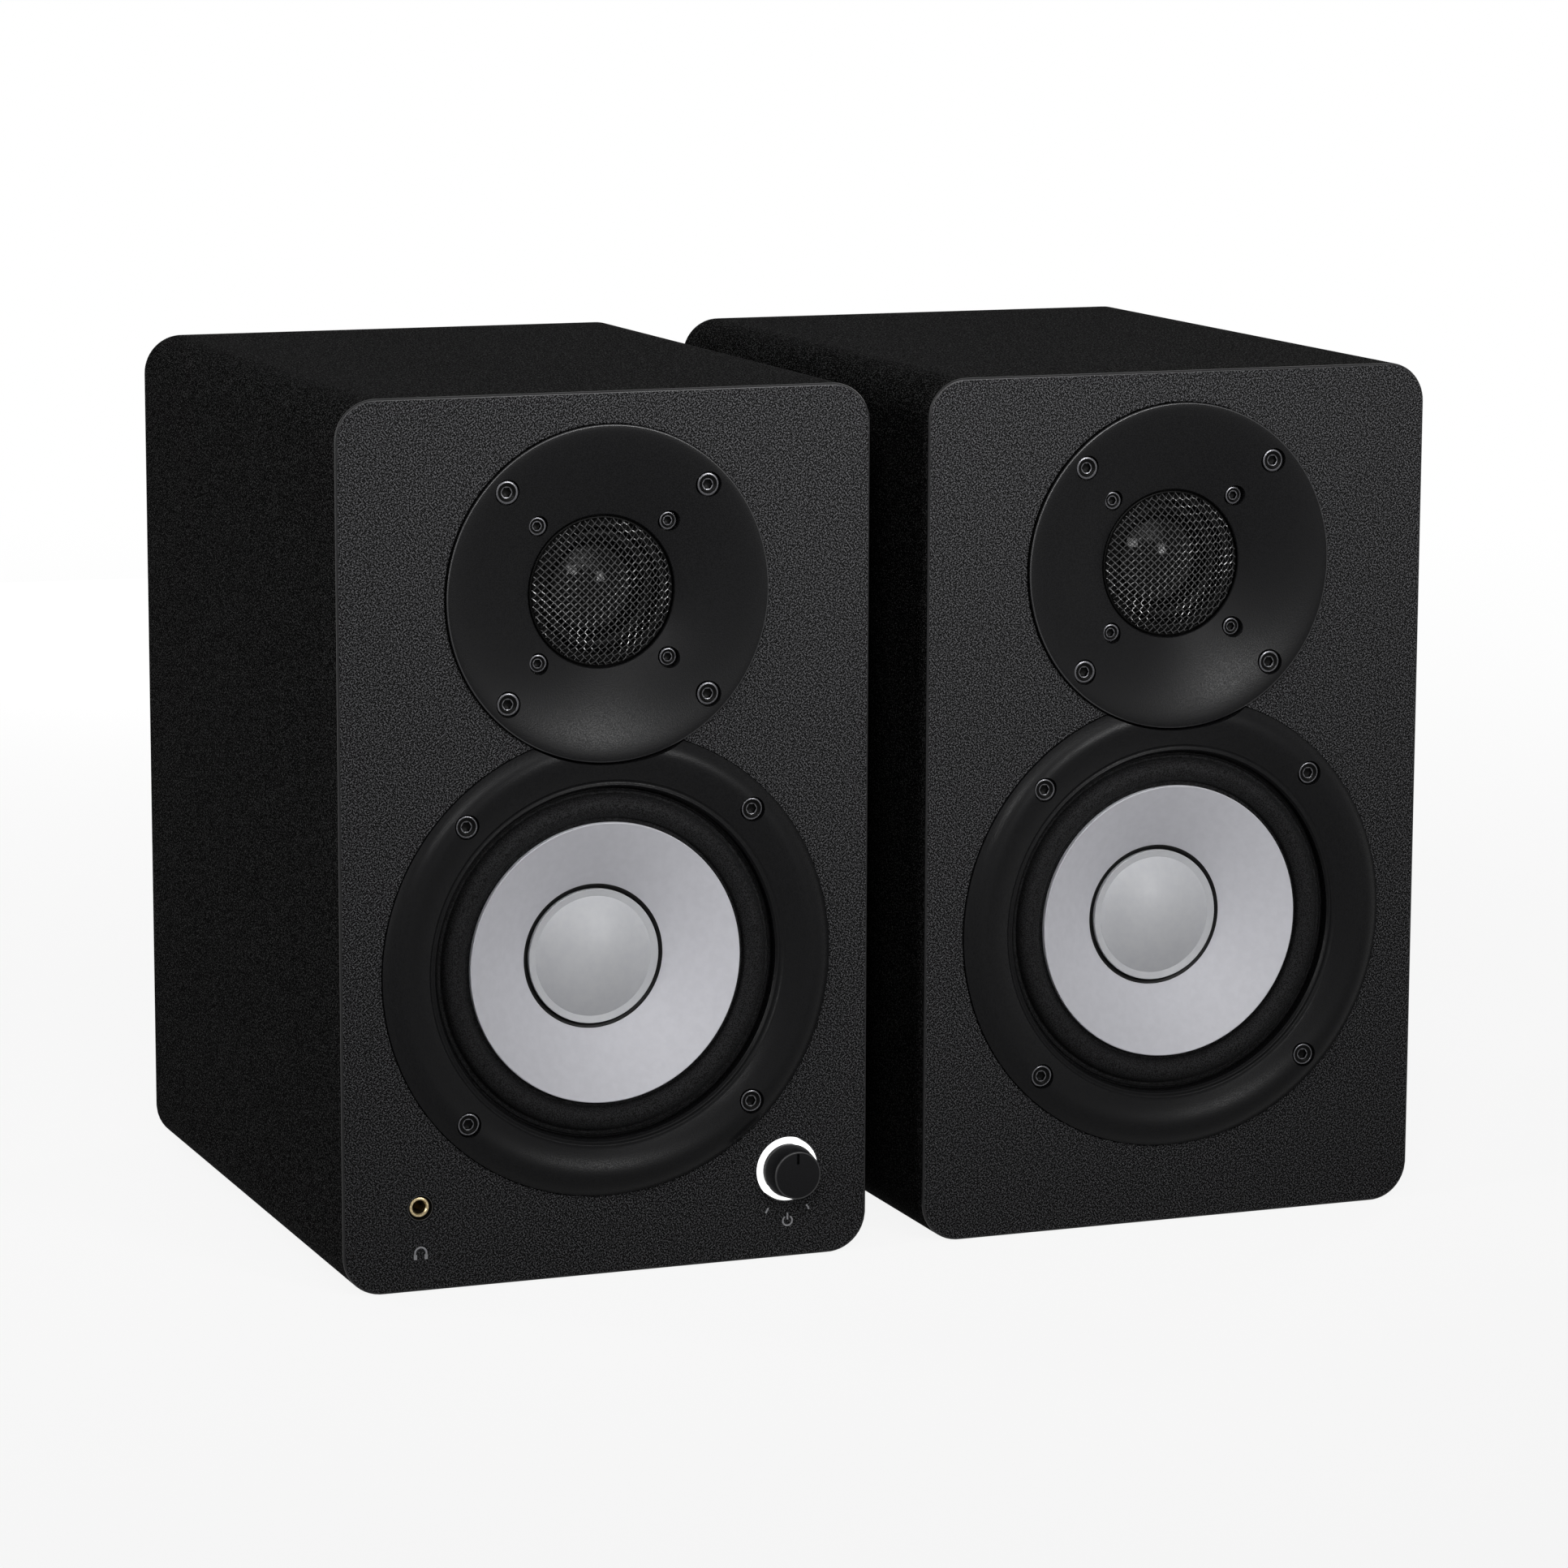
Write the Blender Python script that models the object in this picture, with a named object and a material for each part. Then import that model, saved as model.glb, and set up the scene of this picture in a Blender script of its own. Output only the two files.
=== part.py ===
"""A pair of desktop monitor loudspeakers: one holds the amplifier and controls, the other is driven by it.

Sizes are in millimetres and become metres as meshes are made. +Z is up and the fronts face -Y.
The origin is the bottom centre of the pair's box. Inside a speaker, y is the depth behind its front
face, x runs from its centre line and z from its base.
"""

from dataclasses import dataclass

import bmesh
import bpy
import numpy as np

MM = 0.001

# Gaps: parts that are glued or screwed together, parts that run in each other, and the plate's seam.
FIT = 0.3
RUNNING = 0.5
SEAM = 0.5

# Cabinet boards
CABINET_WIDTH = 150.0
CABINET_HEIGHT = 240.0
CABINET_DEPTH = 193.0
PAIR_SPACING = 167.0
EDGE_RADIUS = 11.0
EDGE_CHAMFER = 0.6
WALL = 9.0
INNER_RADIUS = 4.0
BAFFLE = 15.0
REAR_BOARD = 9.0
REAR_INSET = 3.0

# Woofer: the frame with its rounded ring, and the parts that move in it
WOOFER_HEIGHT = 85.5
RING_RADIUS = 63.5
RING_EDGE = 0.6
RING_CREST = 2.9
RING_CREST_RADIUS = 58.0
RING_LIP_RADIUS = 48.3
RING_LIP_DEPTH = 0.8
RING_REBATE = 3.0
WOOFER_SCREW_RADIUS = 57.1
WOOFER_SCREW_HEAD = 3.4
SURROUND_SEAT = 4.4
SURROUND_ROLL_OUTER = 46.2
SURROUND_ROLL_INNER = 39.6
SURROUND_THICK = 0.6
CONE_RADIUS = 38.4
CONE_RIM_DEPTH = 2.4
CONE_RIM_WIDTH = 1.5
CONE_CAP_DEPTH = 13.4
CONE_THICK = 0.8
CAP_RADIUS = 18.5
CAP_CHAMFER_RADIUS = 16.5
CAP_RISE = 5.0
COIL_RADIUS = 12.4
COIL_FORMER_THICK = 0.5
COIL_WINDING_THICK = 0.5
COIL_LENGTH = 20.0
SPIDER_DEPTH = 20.0
SPIDER_RADIUS = 38.2
BASKET_FLOOR = 24.7
BASKET_FLOOR_THICK = 3.0
TOP_PLATE_RADIUS = 36.0
TOP_PLATE_THICK = 5.0
MAGNET_RADIUS = 40.0
MAGNET_THICK = 14.0
YOKE_THICK = 5.0

# Tweeter: a round waveguide plate, its domed grille and the dome behind it
TWEETER_HEIGHT = 186.0
PLATE_RADIUS = 45.3
PLATE_PROUD = 1.5
PLATE_REBATE = 2.6
DISH_RADIUS = 44.2
DISH_DEPTH = 6.5
DISH_CURVE = 1.1
BOSS_RADIUS = 33.0
BOSS_DEPTH = 11.0
THROAT_RADIUS = 17.2
GRILLE_RADIUS = 20.3
GRILLE_RISE = 5.5
GRILLE_THICK = 0.8
GRILLE_PITCH = 5.6
GRILLE_HOLE = 4.5
OUTER_SCREW_RADIUS = 39.9
OUTER_SCREW_HEAD = 3.1
INNER_SCREW_RADIUS = 26.0
INNER_SCREW_HEAD = 2.8
DOME_RADIUS = 12.9
DOME_RISE = 4.5
DOME_THICK = 0.5
DOME_FORMER = 5.5
TWEETER_POLE_DROP = 1.5
TWEETER_SLOT = 9.5
TWEETER_FLANGE = 3.0
TWEETER_MOTOR_RADIUS = 21.0
TWEETER_MOTOR_DEPTH = 32.5

# Bass port in the rear board, placed from the cabinet's top
PORT_DROP = 54.0
PORT_RADIUS = 15.0
PORT_FLANGE = 26.0
PORT_FLARE = 6.0
PORT_WALL = 2.0
PORT_LENGTH = 82.0

# Front controls of the left speaker
KNOB_X = 51.8
KNOB_HEIGHT = 24.6
KNOB_RADIUS = 7.0
KNOB_TAPER = 0.4
KNOB_REACH = 8.0
KNOB_SUNK = 2.0
KNOB_PRESS = 1.5
SHAFT_RADIUS = 3.0
LIGHT_RING_RADIUS = 8.75
JACK_X = -53.4
JACK_HEIGHT = 22.9
JACK_RADIUS = 2.8
JACK_BORE = 1.8
JACK_RECESS = 3.5
CONTROL_BOARD_DEPTH = 27.0
CONTROL_BOARD_TALL = 20.0
CONTROL_BOARD_MARGIN = 5.0
CONTROL_BODY = 16.0

# Rear amplifier panel of the left speaker
PANEL_WIDTH = 116.0
PANEL_TALL = 110.0
PANEL_THICK = 1.6
PANEL_HEIGHT = 71.0
PANEL_OVERLAP = 6.0
BOARD_GAP = 24.0
BOARD_THICK = 1.6

# What the panel carries: body sizes, and margins from the edges of the rear board's opening
COMBO_BODY = (22.0, 24.0)
COMBO_FLANGE = (26.0, 30.0)
COMBO_MARGIN = 3.0
COMBO_SPACING = 31.0
PHONO_BODY = (26.0, 12.0)
PHONO_SPACING = 14.0
PHONO_REACH = 9.0
SOCKET_MARGIN = 5.0
INLET_BODY = (21.0, 13.0)
INLET_SIDE_MARGIN = 7.5
INLET_FOOT_MARGIN = 10.5
SWITCH_TAB = (4.0, 3.0)
SWITCH_BODY = (14.0, 8.0)
SWITCH_MARGIN = 9.0
SWITCH_SPACING = 26.0
SWITCH_Z = 2.0
SWITCH_TRAVEL = 2.5
TERMINAL_REACH = 13.0
TERMINAL_WIDTH = 50.0
TERMINAL_TALL = 28.0
TERMINAL_RIM = 4.0
TERMINAL_RAISED = 6.0
TERMINAL_MARGIN = 9.0
RIGHT_TERMINAL_HEIGHT = 60.0

# Parts on the amplifier board, placed from the panel's centre
CAPACITOR_RADIUS = 7.0
CAPACITOR_TALL = 22.0
CAPACITOR_X = (20.0, 38.0)
CAPACITOR_Z = 34.0
CORE_SIZE = (30.0, 40.0)
CORE_DEEP = 32.0
CORE_X = -28.0
CORE_Z = -22.0
WINDING_SIZE = (44.0, 24.0)
WINDING_INSET = 4.0
SINK_WIDTH = 48.0
SINK_TALL = 30.0
SINK_DEEP = 24.0
SINK_BASE = 4.0
SINK_FIN = 4.0
SINK_FINS = 5
SINK_X = 26.0
SINK_Z = -16.0

# Crossover board of the right speaker, with its parts placed from the board's centre
CROSSOVER_SIZE = (76.0, 58.0)
CHOKE_RADIUS = 12.0
CHOKE_TALL = 16.0
CHOKE_PLACE = (-20.0, 8.0)
FILTER_RADIUS = 6.0
FILTER_TALL = 20.0
FILTER_X = (12.0, 28.0)
FILTER_Z = -14.0

# How many flat sides a round piece has
ROUND = 24
SMALL_ROUND = 16
HOLE_ROUND = 8

# Depths and places that follow from the sizes above
BOARD_FACE = CABINET_DEPTH - REAR_INSET
PANEL_FACE = BOARD_FACE + FIT + PANEL_THICK
CIRCUIT_FACE = PANEL_FACE - BOARD_GAP
REAR_REACH = PANEL_FACE + TERMINAL_REACH - CABINET_DEPTH
FRONT_Y = -(CABINET_DEPTH + REAR_REACH - KNOB_REACH) / 2
FRAME_BACK = RING_REBATE - FIT
BASKET_BACK = BASKET_FLOOR + BASKET_FLOOR_THICK
COIL_OUTER = COIL_RADIUS + COIL_FORMER_THICK
GAP_RADIUS = COIL_OUTER + COIL_WINDING_THICK + RUNNING
TOP_PLATE_DEPTH = BASKET_BACK + FIT
MAGNET_DEPTH = TOP_PLATE_DEPTH + TOP_PLATE_THICK + FIT
YOKE_DEPTH = MAGNET_DEPTH + MAGNET_THICK + FIT
NECK_RADIUS = COIL_OUTER + FIT
GRILLE_SEAT_DEPTH = DISH_DEPTH - PLATE_PROUD + 1.6
ROLL_FLANGE_DEPTH = BOSS_DEPTH - 0.5
PORT_HEIGHT = CABINET_HEIGHT - PORT_DROP
OPENING_WIDTH = PANEL_WIDTH - 2 * PANEL_OVERLAP
OPENING_TALL = PANEL_TALL - 2 * PANEL_OVERLAP
TERMINAL_BODY = (TERMINAL_WIDTH - TERMINAL_RIM, TERMINAL_TALL - TERMINAL_RIM)
COMBO_FIRST_X = COMBO_MARGIN + (COMBO_BODY[0] - OPENING_WIDTH) / 2
COMBO_JACK_X = (COMBO_FIRST_X, COMBO_FIRST_X + COMBO_SPACING)
COMBO_JACK_Z = (OPENING_TALL - COMBO_BODY[1]) / 2 - SOCKET_MARGIN
PHONO_X = (OPENING_WIDTH - PHONO_BODY[0]) / 2 - SOCKET_MARGIN
PHONO_Z = COMBO_JACK_Z
SWITCH_FIRST_X = SWITCH_MARGIN + (SWITCH_BODY[0] - OPENING_WIDTH) / 2
SWITCH_X = (SWITCH_FIRST_X, SWITCH_FIRST_X + SWITCH_SPACING)
INLET_X = INLET_SIDE_MARGIN + (INLET_BODY[0] - OPENING_WIDTH) / 2
INLET_Z = INLET_FOOT_MARGIN + (INLET_BODY[1] - OPENING_TALL) / 2
TERMINAL_X = (OPENING_WIDTH - TERMINAL_BODY[0]) / 2 - SOCKET_MARGIN
TERMINAL_Z = TERMINAL_MARGIN + (TERMINAL_BODY[1] - OPENING_TALL) / 2


@dataclass(frozen=True)
class Speaker:
    """One of the two cabinets: its name, centre line and whether it holds the amplifier."""

    side: str
    centre: float
    powered: bool

    def name(self, piece):
        return f"{self.side}_{piece}"


def clear_scene():
    for old in list(bpy.data.objects):
        bpy.data.objects.remove(old, do_unlink=True)


def material(name, colour, metallic=0.0, roughness=0.5):
    made = bpy.data.materials.new(name)
    made.use_nodes = True
    shader = made.node_tree.nodes["Principled BSDF"]
    shader.inputs["Base Color"].default_value = (*colour, 1.0)
    shader.inputs["Metallic"].default_value = metallic
    shader.inputs["Roughness"].default_value = roughness
    return made


def add_object(name, points, faces, finish, place=(0.0, 0.0, 0.0), parent=None):
    """Makes a closed mesh object from points in millimetres, with its origin at place."""
    mesh = bpy.data.meshes.new(name)
    mesh.from_pydata((np.asarray(points, float) * MM).tolist(), [], faces)
    shape = bmesh.new()
    shape.from_mesh(mesh)
    bmesh.ops.recalc_face_normals(shape, faces=shape.faces)
    shape.to_mesh(mesh)
    shape.free()
    mesh.shade_smooth()
    mesh.set_sharp_from_angle(angle=np.radians(35.0))
    obj = bpy.data.objects.new(name, mesh)
    bpy.context.scene.collection.objects.link(obj)
    obj.location = np.asarray(place, float) * MM
    obj.parent = parent
    if finish is not None:
        mesh.materials.append(finish)
    return obj


def revolved(profile, sides):
    """Points and faces of a closed (radius, depth) outline turned about the depth axis, flat side up."""
    angles = (np.arange(sides) + 0.5) * 2.0 * np.pi / sides
    points = []
    rings = []
    for radius, depth in profile:
        if radius < 1e-6:
            rings.append([len(points)] * sides)
            points.append((0.0, depth, 0.0))
            continue
        rings.append(list(range(len(points), len(points) + sides)))
        points.extend((radius * np.cos(a), depth, radius * np.sin(a)) for a in angles)
    faces = []
    for near, far in zip(rings, rings[1:] + rings[:1]):
        for i in range(sides):
            j = (i + 1) % sides
            corners = list(dict.fromkeys((near[i], near[j], far[j], far[i])))
            if len(corners) > 2:
                faces.append(corners)
    return points, faces


def turned(name, profile, finish, place, parent=None, sides=ROUND):
    points, faces = revolved(profile, sides)
    return add_object(name, points, faces, finish, place, parent)


def rounded_outline(width, tall, radius, steps=4):
    """Points (x, z) round a rectangle with rounded corners."""
    turn = np.linspace(0.0, np.pi / 2.0, steps + 1)
    corners = ((1, 1, 0.0), (-1, 1, np.pi / 2.0), (-1, -1, np.pi), (1, -1, 1.5 * np.pi))
    outline = []
    for side, up, start in corners:
        centre = np.array((side * (width / 2 - radius), up * (tall / 2 - radius)))
        arc = np.stack((np.cos(turn + start), np.sin(turn + start)), axis=1)
        outline.extend(centre + radius * arc)
    return np.array(outline)


def rectangle(width, tall, x=0.0, z=0.0):
    half = np.array(((1, 1), (-1, 1), (-1, -1), (1, -1))) * 0.5
    return half * (width, tall) + (x, z)


def lofted(sections):
    """Points and faces through (outline, depth) sections with equal point counts, closed at both ends."""
    count = len(sections[0][0])
    points = [(x, depth, z) for outline, depth in sections for x, z in outline]
    faces = [list(range(count))]
    faces.append(list(range(len(points) - count, len(points)))[::-1])
    for start in range(0, len(points) - count, count):
        for i in range(count):
            j = (i + 1) % count
            faces.append([start + i, start + j, start + count + j, start + count + i])
    return points, faces


def loft(name, sections, finish, place, parent=None):
    points, faces = lofted(sections)
    return add_object(name, points, faces, finish, place, parent)


def merged(shapes):
    """Points and faces of several (points, faces) shapes in one list."""
    points = []
    faces = []
    for more_points, more_faces in shapes:
        start = len(points)
        points.extend(more_points)
        faces.extend([start + i for i in face] for face in more_faces)
    return points, faces


def shifted(shape, x=0.0, y=0.0, z=0.0):
    points, faces = shape
    return (np.asarray(points, float) + (x, y, z)).tolist(), faces


def block(width, tall, near, far, x=0.0, z=0.0):
    """Points and faces of a box from depth near to depth far."""
    return lofted([(rectangle(width, tall, x, z), near), (rectangle(width, tall, x, z), far)])


def rod(radius, near, far, x=0.0, z=0.0, sides=HOLE_ROUND):
    """Points and faces of a round rod along the depth axis."""
    profile = [(0.0, near), (radius, near), (radius, far), (0.0, far)]
    return shifted(revolved(profile, sides), x=x, z=z)


def combine(target, operation, label, shape, parent=None):
    """Cuts a helper shape from the target, or joins it on. The helper sits at the target's origin."""
    points, faces = shape
    helper = add_object(f"{target.name}_{label}", points, faces, None, parent=parent)
    helper.location = target.location
    helper.hide_render = True
    helper.display_type = "WIRE"
    modifier = target.modifiers.new(label, "BOOLEAN")
    modifier.operation = operation
    modifier.solver = "EXACT"
    modifier.object = helper


def cut(target, label, shape):
    combine(target, "DIFFERENCE", label, shape, target.parent)


def join(target, label, shape):
    combine(target, "UNION", label, shape, target.parent)


def loose(size):
    """Width and height of the hole that a body of this size passes through."""
    return size[0] + 2 * FIT, size[1] + 2 * FIT


def square_places(radius):
    """The four diagonal places (x, z) at a radius."""
    reach = radius * np.sqrt(0.5)
    return [(x, z) for x in (-reach, reach) for z in (-reach, reach)]


def dish_depth(radius):
    """Depth of the waveguide's concave face at a radius."""
    inward = (DISH_RADIUS - radius) / (DISH_RADIUS - GRILLE_RADIUS - FIT)
    return -PLATE_PROUD + DISH_DEPTH * inward**DISH_CURVE


def make_cabinet(speaker, parent, finish):
    """Board box with its front, open at the back, with stepped holes for what is screwed to the front."""
    middle = CABINET_HEIGHT / 2
    outer = rounded_outline(CABINET_WIDTH, CABINET_HEIGHT, EDGE_RADIUS)
    edge = EDGE_CHAMFER
    eased = rounded_outline(CABINET_WIDTH - 2 * edge, CABINET_HEIGHT - 2 * edge, EDGE_RADIUS - edge)
    inner = rounded_outline(CABINET_WIDTH - 2 * WALL, CABINET_HEIGHT - 2 * WALL, INNER_RADIUS)
    sections = [
        (eased, 0.0),
        (outer, edge),
        (outer, CABINET_DEPTH - edge),
        (eased, CABINET_DEPTH),
        (inner, CABINET_DEPTH),
        (inner, BAFFLE),
    ]
    obj = loft(speaker.name("cabinet"), sections, finish, (0.0, 0.0, middle), parent)
    cut(obj, "woofer_hole", stepped_hole(WOOFER_HEIGHT - middle, RING_RADIUS, RING_REBATE, basket_radius()))
    cut(obj, "tweeter_hole", stepped_hole(TWEETER_HEIGHT - middle, PLATE_RADIUS, PLATE_REBATE, BOSS_RADIUS))
    if speaker.powered:
        beyond = BAFFLE + RING_EDGE
        holes = [
            rod(LIGHT_RING_RADIUS + FIT, -1.0, beyond, KNOB_X, KNOB_HEIGHT - middle, SMALL_ROUND),
            rod(JACK_RECESS, -1.0, beyond, JACK_X, JACK_HEIGHT - middle),
        ]
        cut(obj, "control_holes", merged(holes))


def basket_radius():
    """Radius of the woofer's basket where it passes through the front board."""
    return RING_LIP_RADIUS + 2.5


def stepped_hole(z, flange, rebate, body):
    """A cutter for a hole through the front board with a shallow seat for a flange."""
    beyond = BAFFLE + 1.0
    profile = [
        (0.0, -4.0),
        (flange + FIT, -4.0),
        (flange + FIT, rebate),
        (body + FIT, rebate),
        (body + FIT, beyond),
        (0.0, beyond),
    ]
    return shifted(revolved(profile, ROUND), z=z)


def make_rear_board(speaker, parent, finish):
    width = CABINET_WIDTH - 2 * (WALL + FIT)
    tall = CABINET_HEIGHT - 2 * (WALL + FIT)
    middle = CABINET_HEIGHT / 2
    near = BOARD_FACE - REAR_BOARD
    outline = rounded_outline(width, tall, INNER_RADIUS, steps=2)
    sections = [(outline, near), (outline, BOARD_FACE)]
    obj = loft(speaker.name("rear_board"), sections, finish, (0.0, 0.0, middle), parent)
    far = BOARD_FACE + 1.0
    flare = PORT_RADIUS + PORT_WALL + PORT_FLARE + FIT
    cut(obj, "port_hole", rod(flare, near - 1.0, far, z=PORT_HEIGHT - middle, sides=SMALL_ROUND))
    if speaker.powered:
        hole = block(OPENING_WIDTH, OPENING_TALL, near - 1.0, far, z=PANEL_HEIGHT - middle)
        cut(obj, "panel_hole", hole)
    else:
        hole = block(*loose(TERMINAL_BODY), near - 1.0, far, z=RIGHT_TERMINAL_HEIGHT - middle)
        cut(obj, "terminal_hole", hole)


def make_woofer_frame(speaker, parent, finish):
    """Moulded frame: rounded front ring, seats for surround and spider, windowed basket."""
    seat_inner = SURROUND_ROLL_OUTER - FIT
    spider_seat = SPIDER_DEPTH + SURROUND_THICK + FIT
    bell = SPIDER_RADIUS + FIT
    floor_hole = GAP_RADIUS + 1.5
    profile = [
        (RING_RADIUS, FRAME_BACK),
        (RING_RADIUS, -RING_EDGE),
        (RING_RADIUS - 2.2, -0.72 * RING_CREST),
        (RING_CREST_RADIUS, -RING_CREST),
        (RING_CREST_RADIUS - 3.4, -0.8 * RING_CREST),
        (RING_CREST_RADIUS - 6.8, -0.28 * RING_CREST),
        (RING_LIP_RADIUS, RING_LIP_DEPTH),
        (RING_LIP_RADIUS, SURROUND_SEAT),
        (seat_inner, SURROUND_SEAT),
        (bell, spider_seat),
        (bell - 3.2, spider_seat),
        (bell - 3.6, BASKET_FLOOR),
        (floor_hole, BASKET_FLOOR),
        (floor_hole, BASKET_BACK),
        (TOP_PLATE_RADIUS, BASKET_BACK),
        (bell + 2.5, spider_seat),
        (basket_radius(), FRAME_BACK),
    ]
    place = (0.0, 0.0, WOOFER_HEIGHT)
    obj = turned(speaker.name("woofer_frame"), profile, finish, place, parent)
    lift = TWEETER_HEIGHT - WOOFER_HEIGHT
    scallop = rod(PLATE_RADIUS + SEAM, -RING_CREST - 3.0, RING_REBATE + 1.0, z=lift, sides=ROUND)
    cut(obj, "plate_scallop", scallop)
    reach = basket_radius() + 4.0
    front = BAFFLE - 5.0
    back = spider_seat - 1.5
    keep = bell - 4.0
    windows = [
        block(reach - keep, 36.0, front, back, x=side * (reach + keep) / 2) for side in (-1, 1)
    ]
    windows += [
        block(36.0, reach - keep, front, back, z=side * (reach + keep) / 2) for side in (-1, 1)
    ]
    cut(obj, "windows", merged(windows))
    screws = [
        rod(WOOFER_SCREW_HEAD, -RING_CREST - 3.0, 0.4, x, z) for x, z in square_places(WOOFER_SCREW_RADIUS)
    ]
    cut(obj, "screw_seats", merged(screws))


def make_surround(speaker, parent, finish):
    """Rubber half roll between the frame's seat and the back of the cone's rim."""
    level = SURROUND_SEAT - FIT - SURROUND_THICK
    middle = (SURROUND_ROLL_OUTER + SURROUND_ROLL_INNER) / 2
    radius = (SURROUND_ROLL_OUTER - SURROUND_ROLL_INNER) / 2
    turn = np.linspace(0.0, np.pi, 5)
    roll = [(middle + radius * np.cos(a), level - radius * np.sin(a)) for a in turn]
    inside = radius - SURROUND_THICK
    under = [(middle + inside * np.cos(a), level + SURROUND_THICK - radius * np.sin(a)) for a in turn]
    outer = RING_LIP_RADIUS - FIT
    inner = CONE_RADIUS - CONE_RIM_WIDTH
    profile = [(outer, level), *roll, (inner, level)]
    profile += [(inner, level + SURROUND_THICK), *under[::-1], (outer, level + SURROUND_THICK)]
    turned(speaker.name("surround"), profile, finish, (0.0, 0.0, WOOFER_HEIGHT), parent)


def cone_depth(radius):
    """Depth of the cone's front face at a radius inside its rim."""
    rim = CONE_RADIUS - CONE_RIM_WIDTH
    slope = (CONE_CAP_DEPTH - CONE_RIM_DEPTH) / (rim - CAP_RADIUS)
    return CONE_RIM_DEPTH + slope * (rim - radius)


def make_cone(speaker, parent, finish):
    rim = CONE_RADIUS - CONE_RIM_WIDTH
    neck = NECK_RADIUS
    front = [(CONE_RADIUS, CONE_RIM_DEPTH), (rim, CONE_RIM_DEPTH), (neck, cone_depth(neck))]
    profile = front + [(radius, depth + CONE_THICK) for radius, depth in front[::-1]]
    turned(speaker.name("cone"), profile, finish, (0.0, 0.0, WOOFER_HEIGHT), parent)


def make_dust_cap(speaker, parent, finish):
    """Shallow domed cap with a chamfered edge that sits on the cone."""
    edge = cone_depth(CAP_RADIUS) - FIT - CONE_THICK
    chamfer = edge - 1.1
    front = [(CAP_RADIUS, edge), (CAP_CHAMFER_RADIUS, chamfer)]
    for share in (0.6, 0.0):
        front.append((share * CAP_CHAMFER_RADIUS, chamfer - (CAP_RISE - 1.1) * (1 - share**2)))
    profile = front + [(radius, depth + CONE_THICK) for radius, depth in front[::-1]]
    turned(speaker.name("dust_cap"), profile, finish, (0.0, 0.0, WOOFER_HEIGHT), parent)


def make_voice_coil(speaker, parent, finish):
    """Former that stands in the magnet's gap, with the winding round its far end."""
    near = cone_depth(NECK_RADIUS) - 1.0
    far = near + COIL_LENGTH
    winding = TOP_PLATE_DEPTH - 2.0
    profile = [
        (COIL_RADIUS, near),
        (COIL_OUTER, near),
        (COIL_OUTER, winding),
        (COIL_OUTER + COIL_WINDING_THICK, winding),
        (COIL_OUTER + COIL_WINDING_THICK, far),
        (COIL_RADIUS, far),
    ]
    place = (0.0, 0.0, WOOFER_HEIGHT)
    turned(speaker.name("voice_coil"), profile, finish, place, parent, SMALL_ROUND)


def make_spider(speaker, parent, finish):
    """Corrugated disc that centres the coil in the frame."""
    inner = NECK_RADIUS
    flat = SPIDER_RADIUS - 3.0
    waves = np.linspace(flat, inner + 1.5, 4)
    front = [(SPIDER_RADIUS, SPIDER_DEPTH)]
    front += [(r, SPIDER_DEPTH + (0.0, -1.4)[i % 2]) for i, r in enumerate(waves)]
    front.append((inner, SPIDER_DEPTH))
    profile = front + [(r, y + SURROUND_THICK) for r, y in front[::-1]]
    place = (0.0, 0.0, WOOFER_HEIGHT)
    turned(speaker.name("spider"), profile, finish, place, parent, SMALL_ROUND)


def flat_ring(inner, outer, near, far):
    return [(inner, near), (outer, near), (outer, far), (inner, far)]


def make_woofer_motor(speaker, parent, steel, ferrite):
    """Front plate, ring magnet and yoke: the plate and the yoke's pole leave a gap for the coil."""
    place = (0.0, 0.0, WOOFER_HEIGHT)
    plate = flat_ring(GAP_RADIUS, TOP_PLATE_RADIUS, TOP_PLATE_DEPTH, TOP_PLATE_DEPTH + TOP_PLATE_THICK)
    turned(speaker.name("woofer_top_plate"), plate, steel, place, parent, SMALL_ROUND)
    magnet = flat_ring(GAP_RADIUS + 5.0, MAGNET_RADIUS, MAGNET_DEPTH, MAGNET_DEPTH + MAGNET_THICK)
    turned(speaker.name("woofer_magnet"), magnet, ferrite, place, parent, SMALL_ROUND)
    pole = COIL_RADIUS - RUNNING
    yoke = [
        (0.0, TOP_PLATE_DEPTH),
        (pole, TOP_PLATE_DEPTH),
        (pole, YOKE_DEPTH),
        (TOP_PLATE_RADIUS, YOKE_DEPTH),
        (TOP_PLATE_RADIUS, YOKE_DEPTH + YOKE_THICK),
        (0.0, YOKE_DEPTH + YOKE_THICK),
    ]
    turned(speaker.name("woofer_yoke"), yoke, steel, place, parent, SMALL_ROUND)


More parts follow.
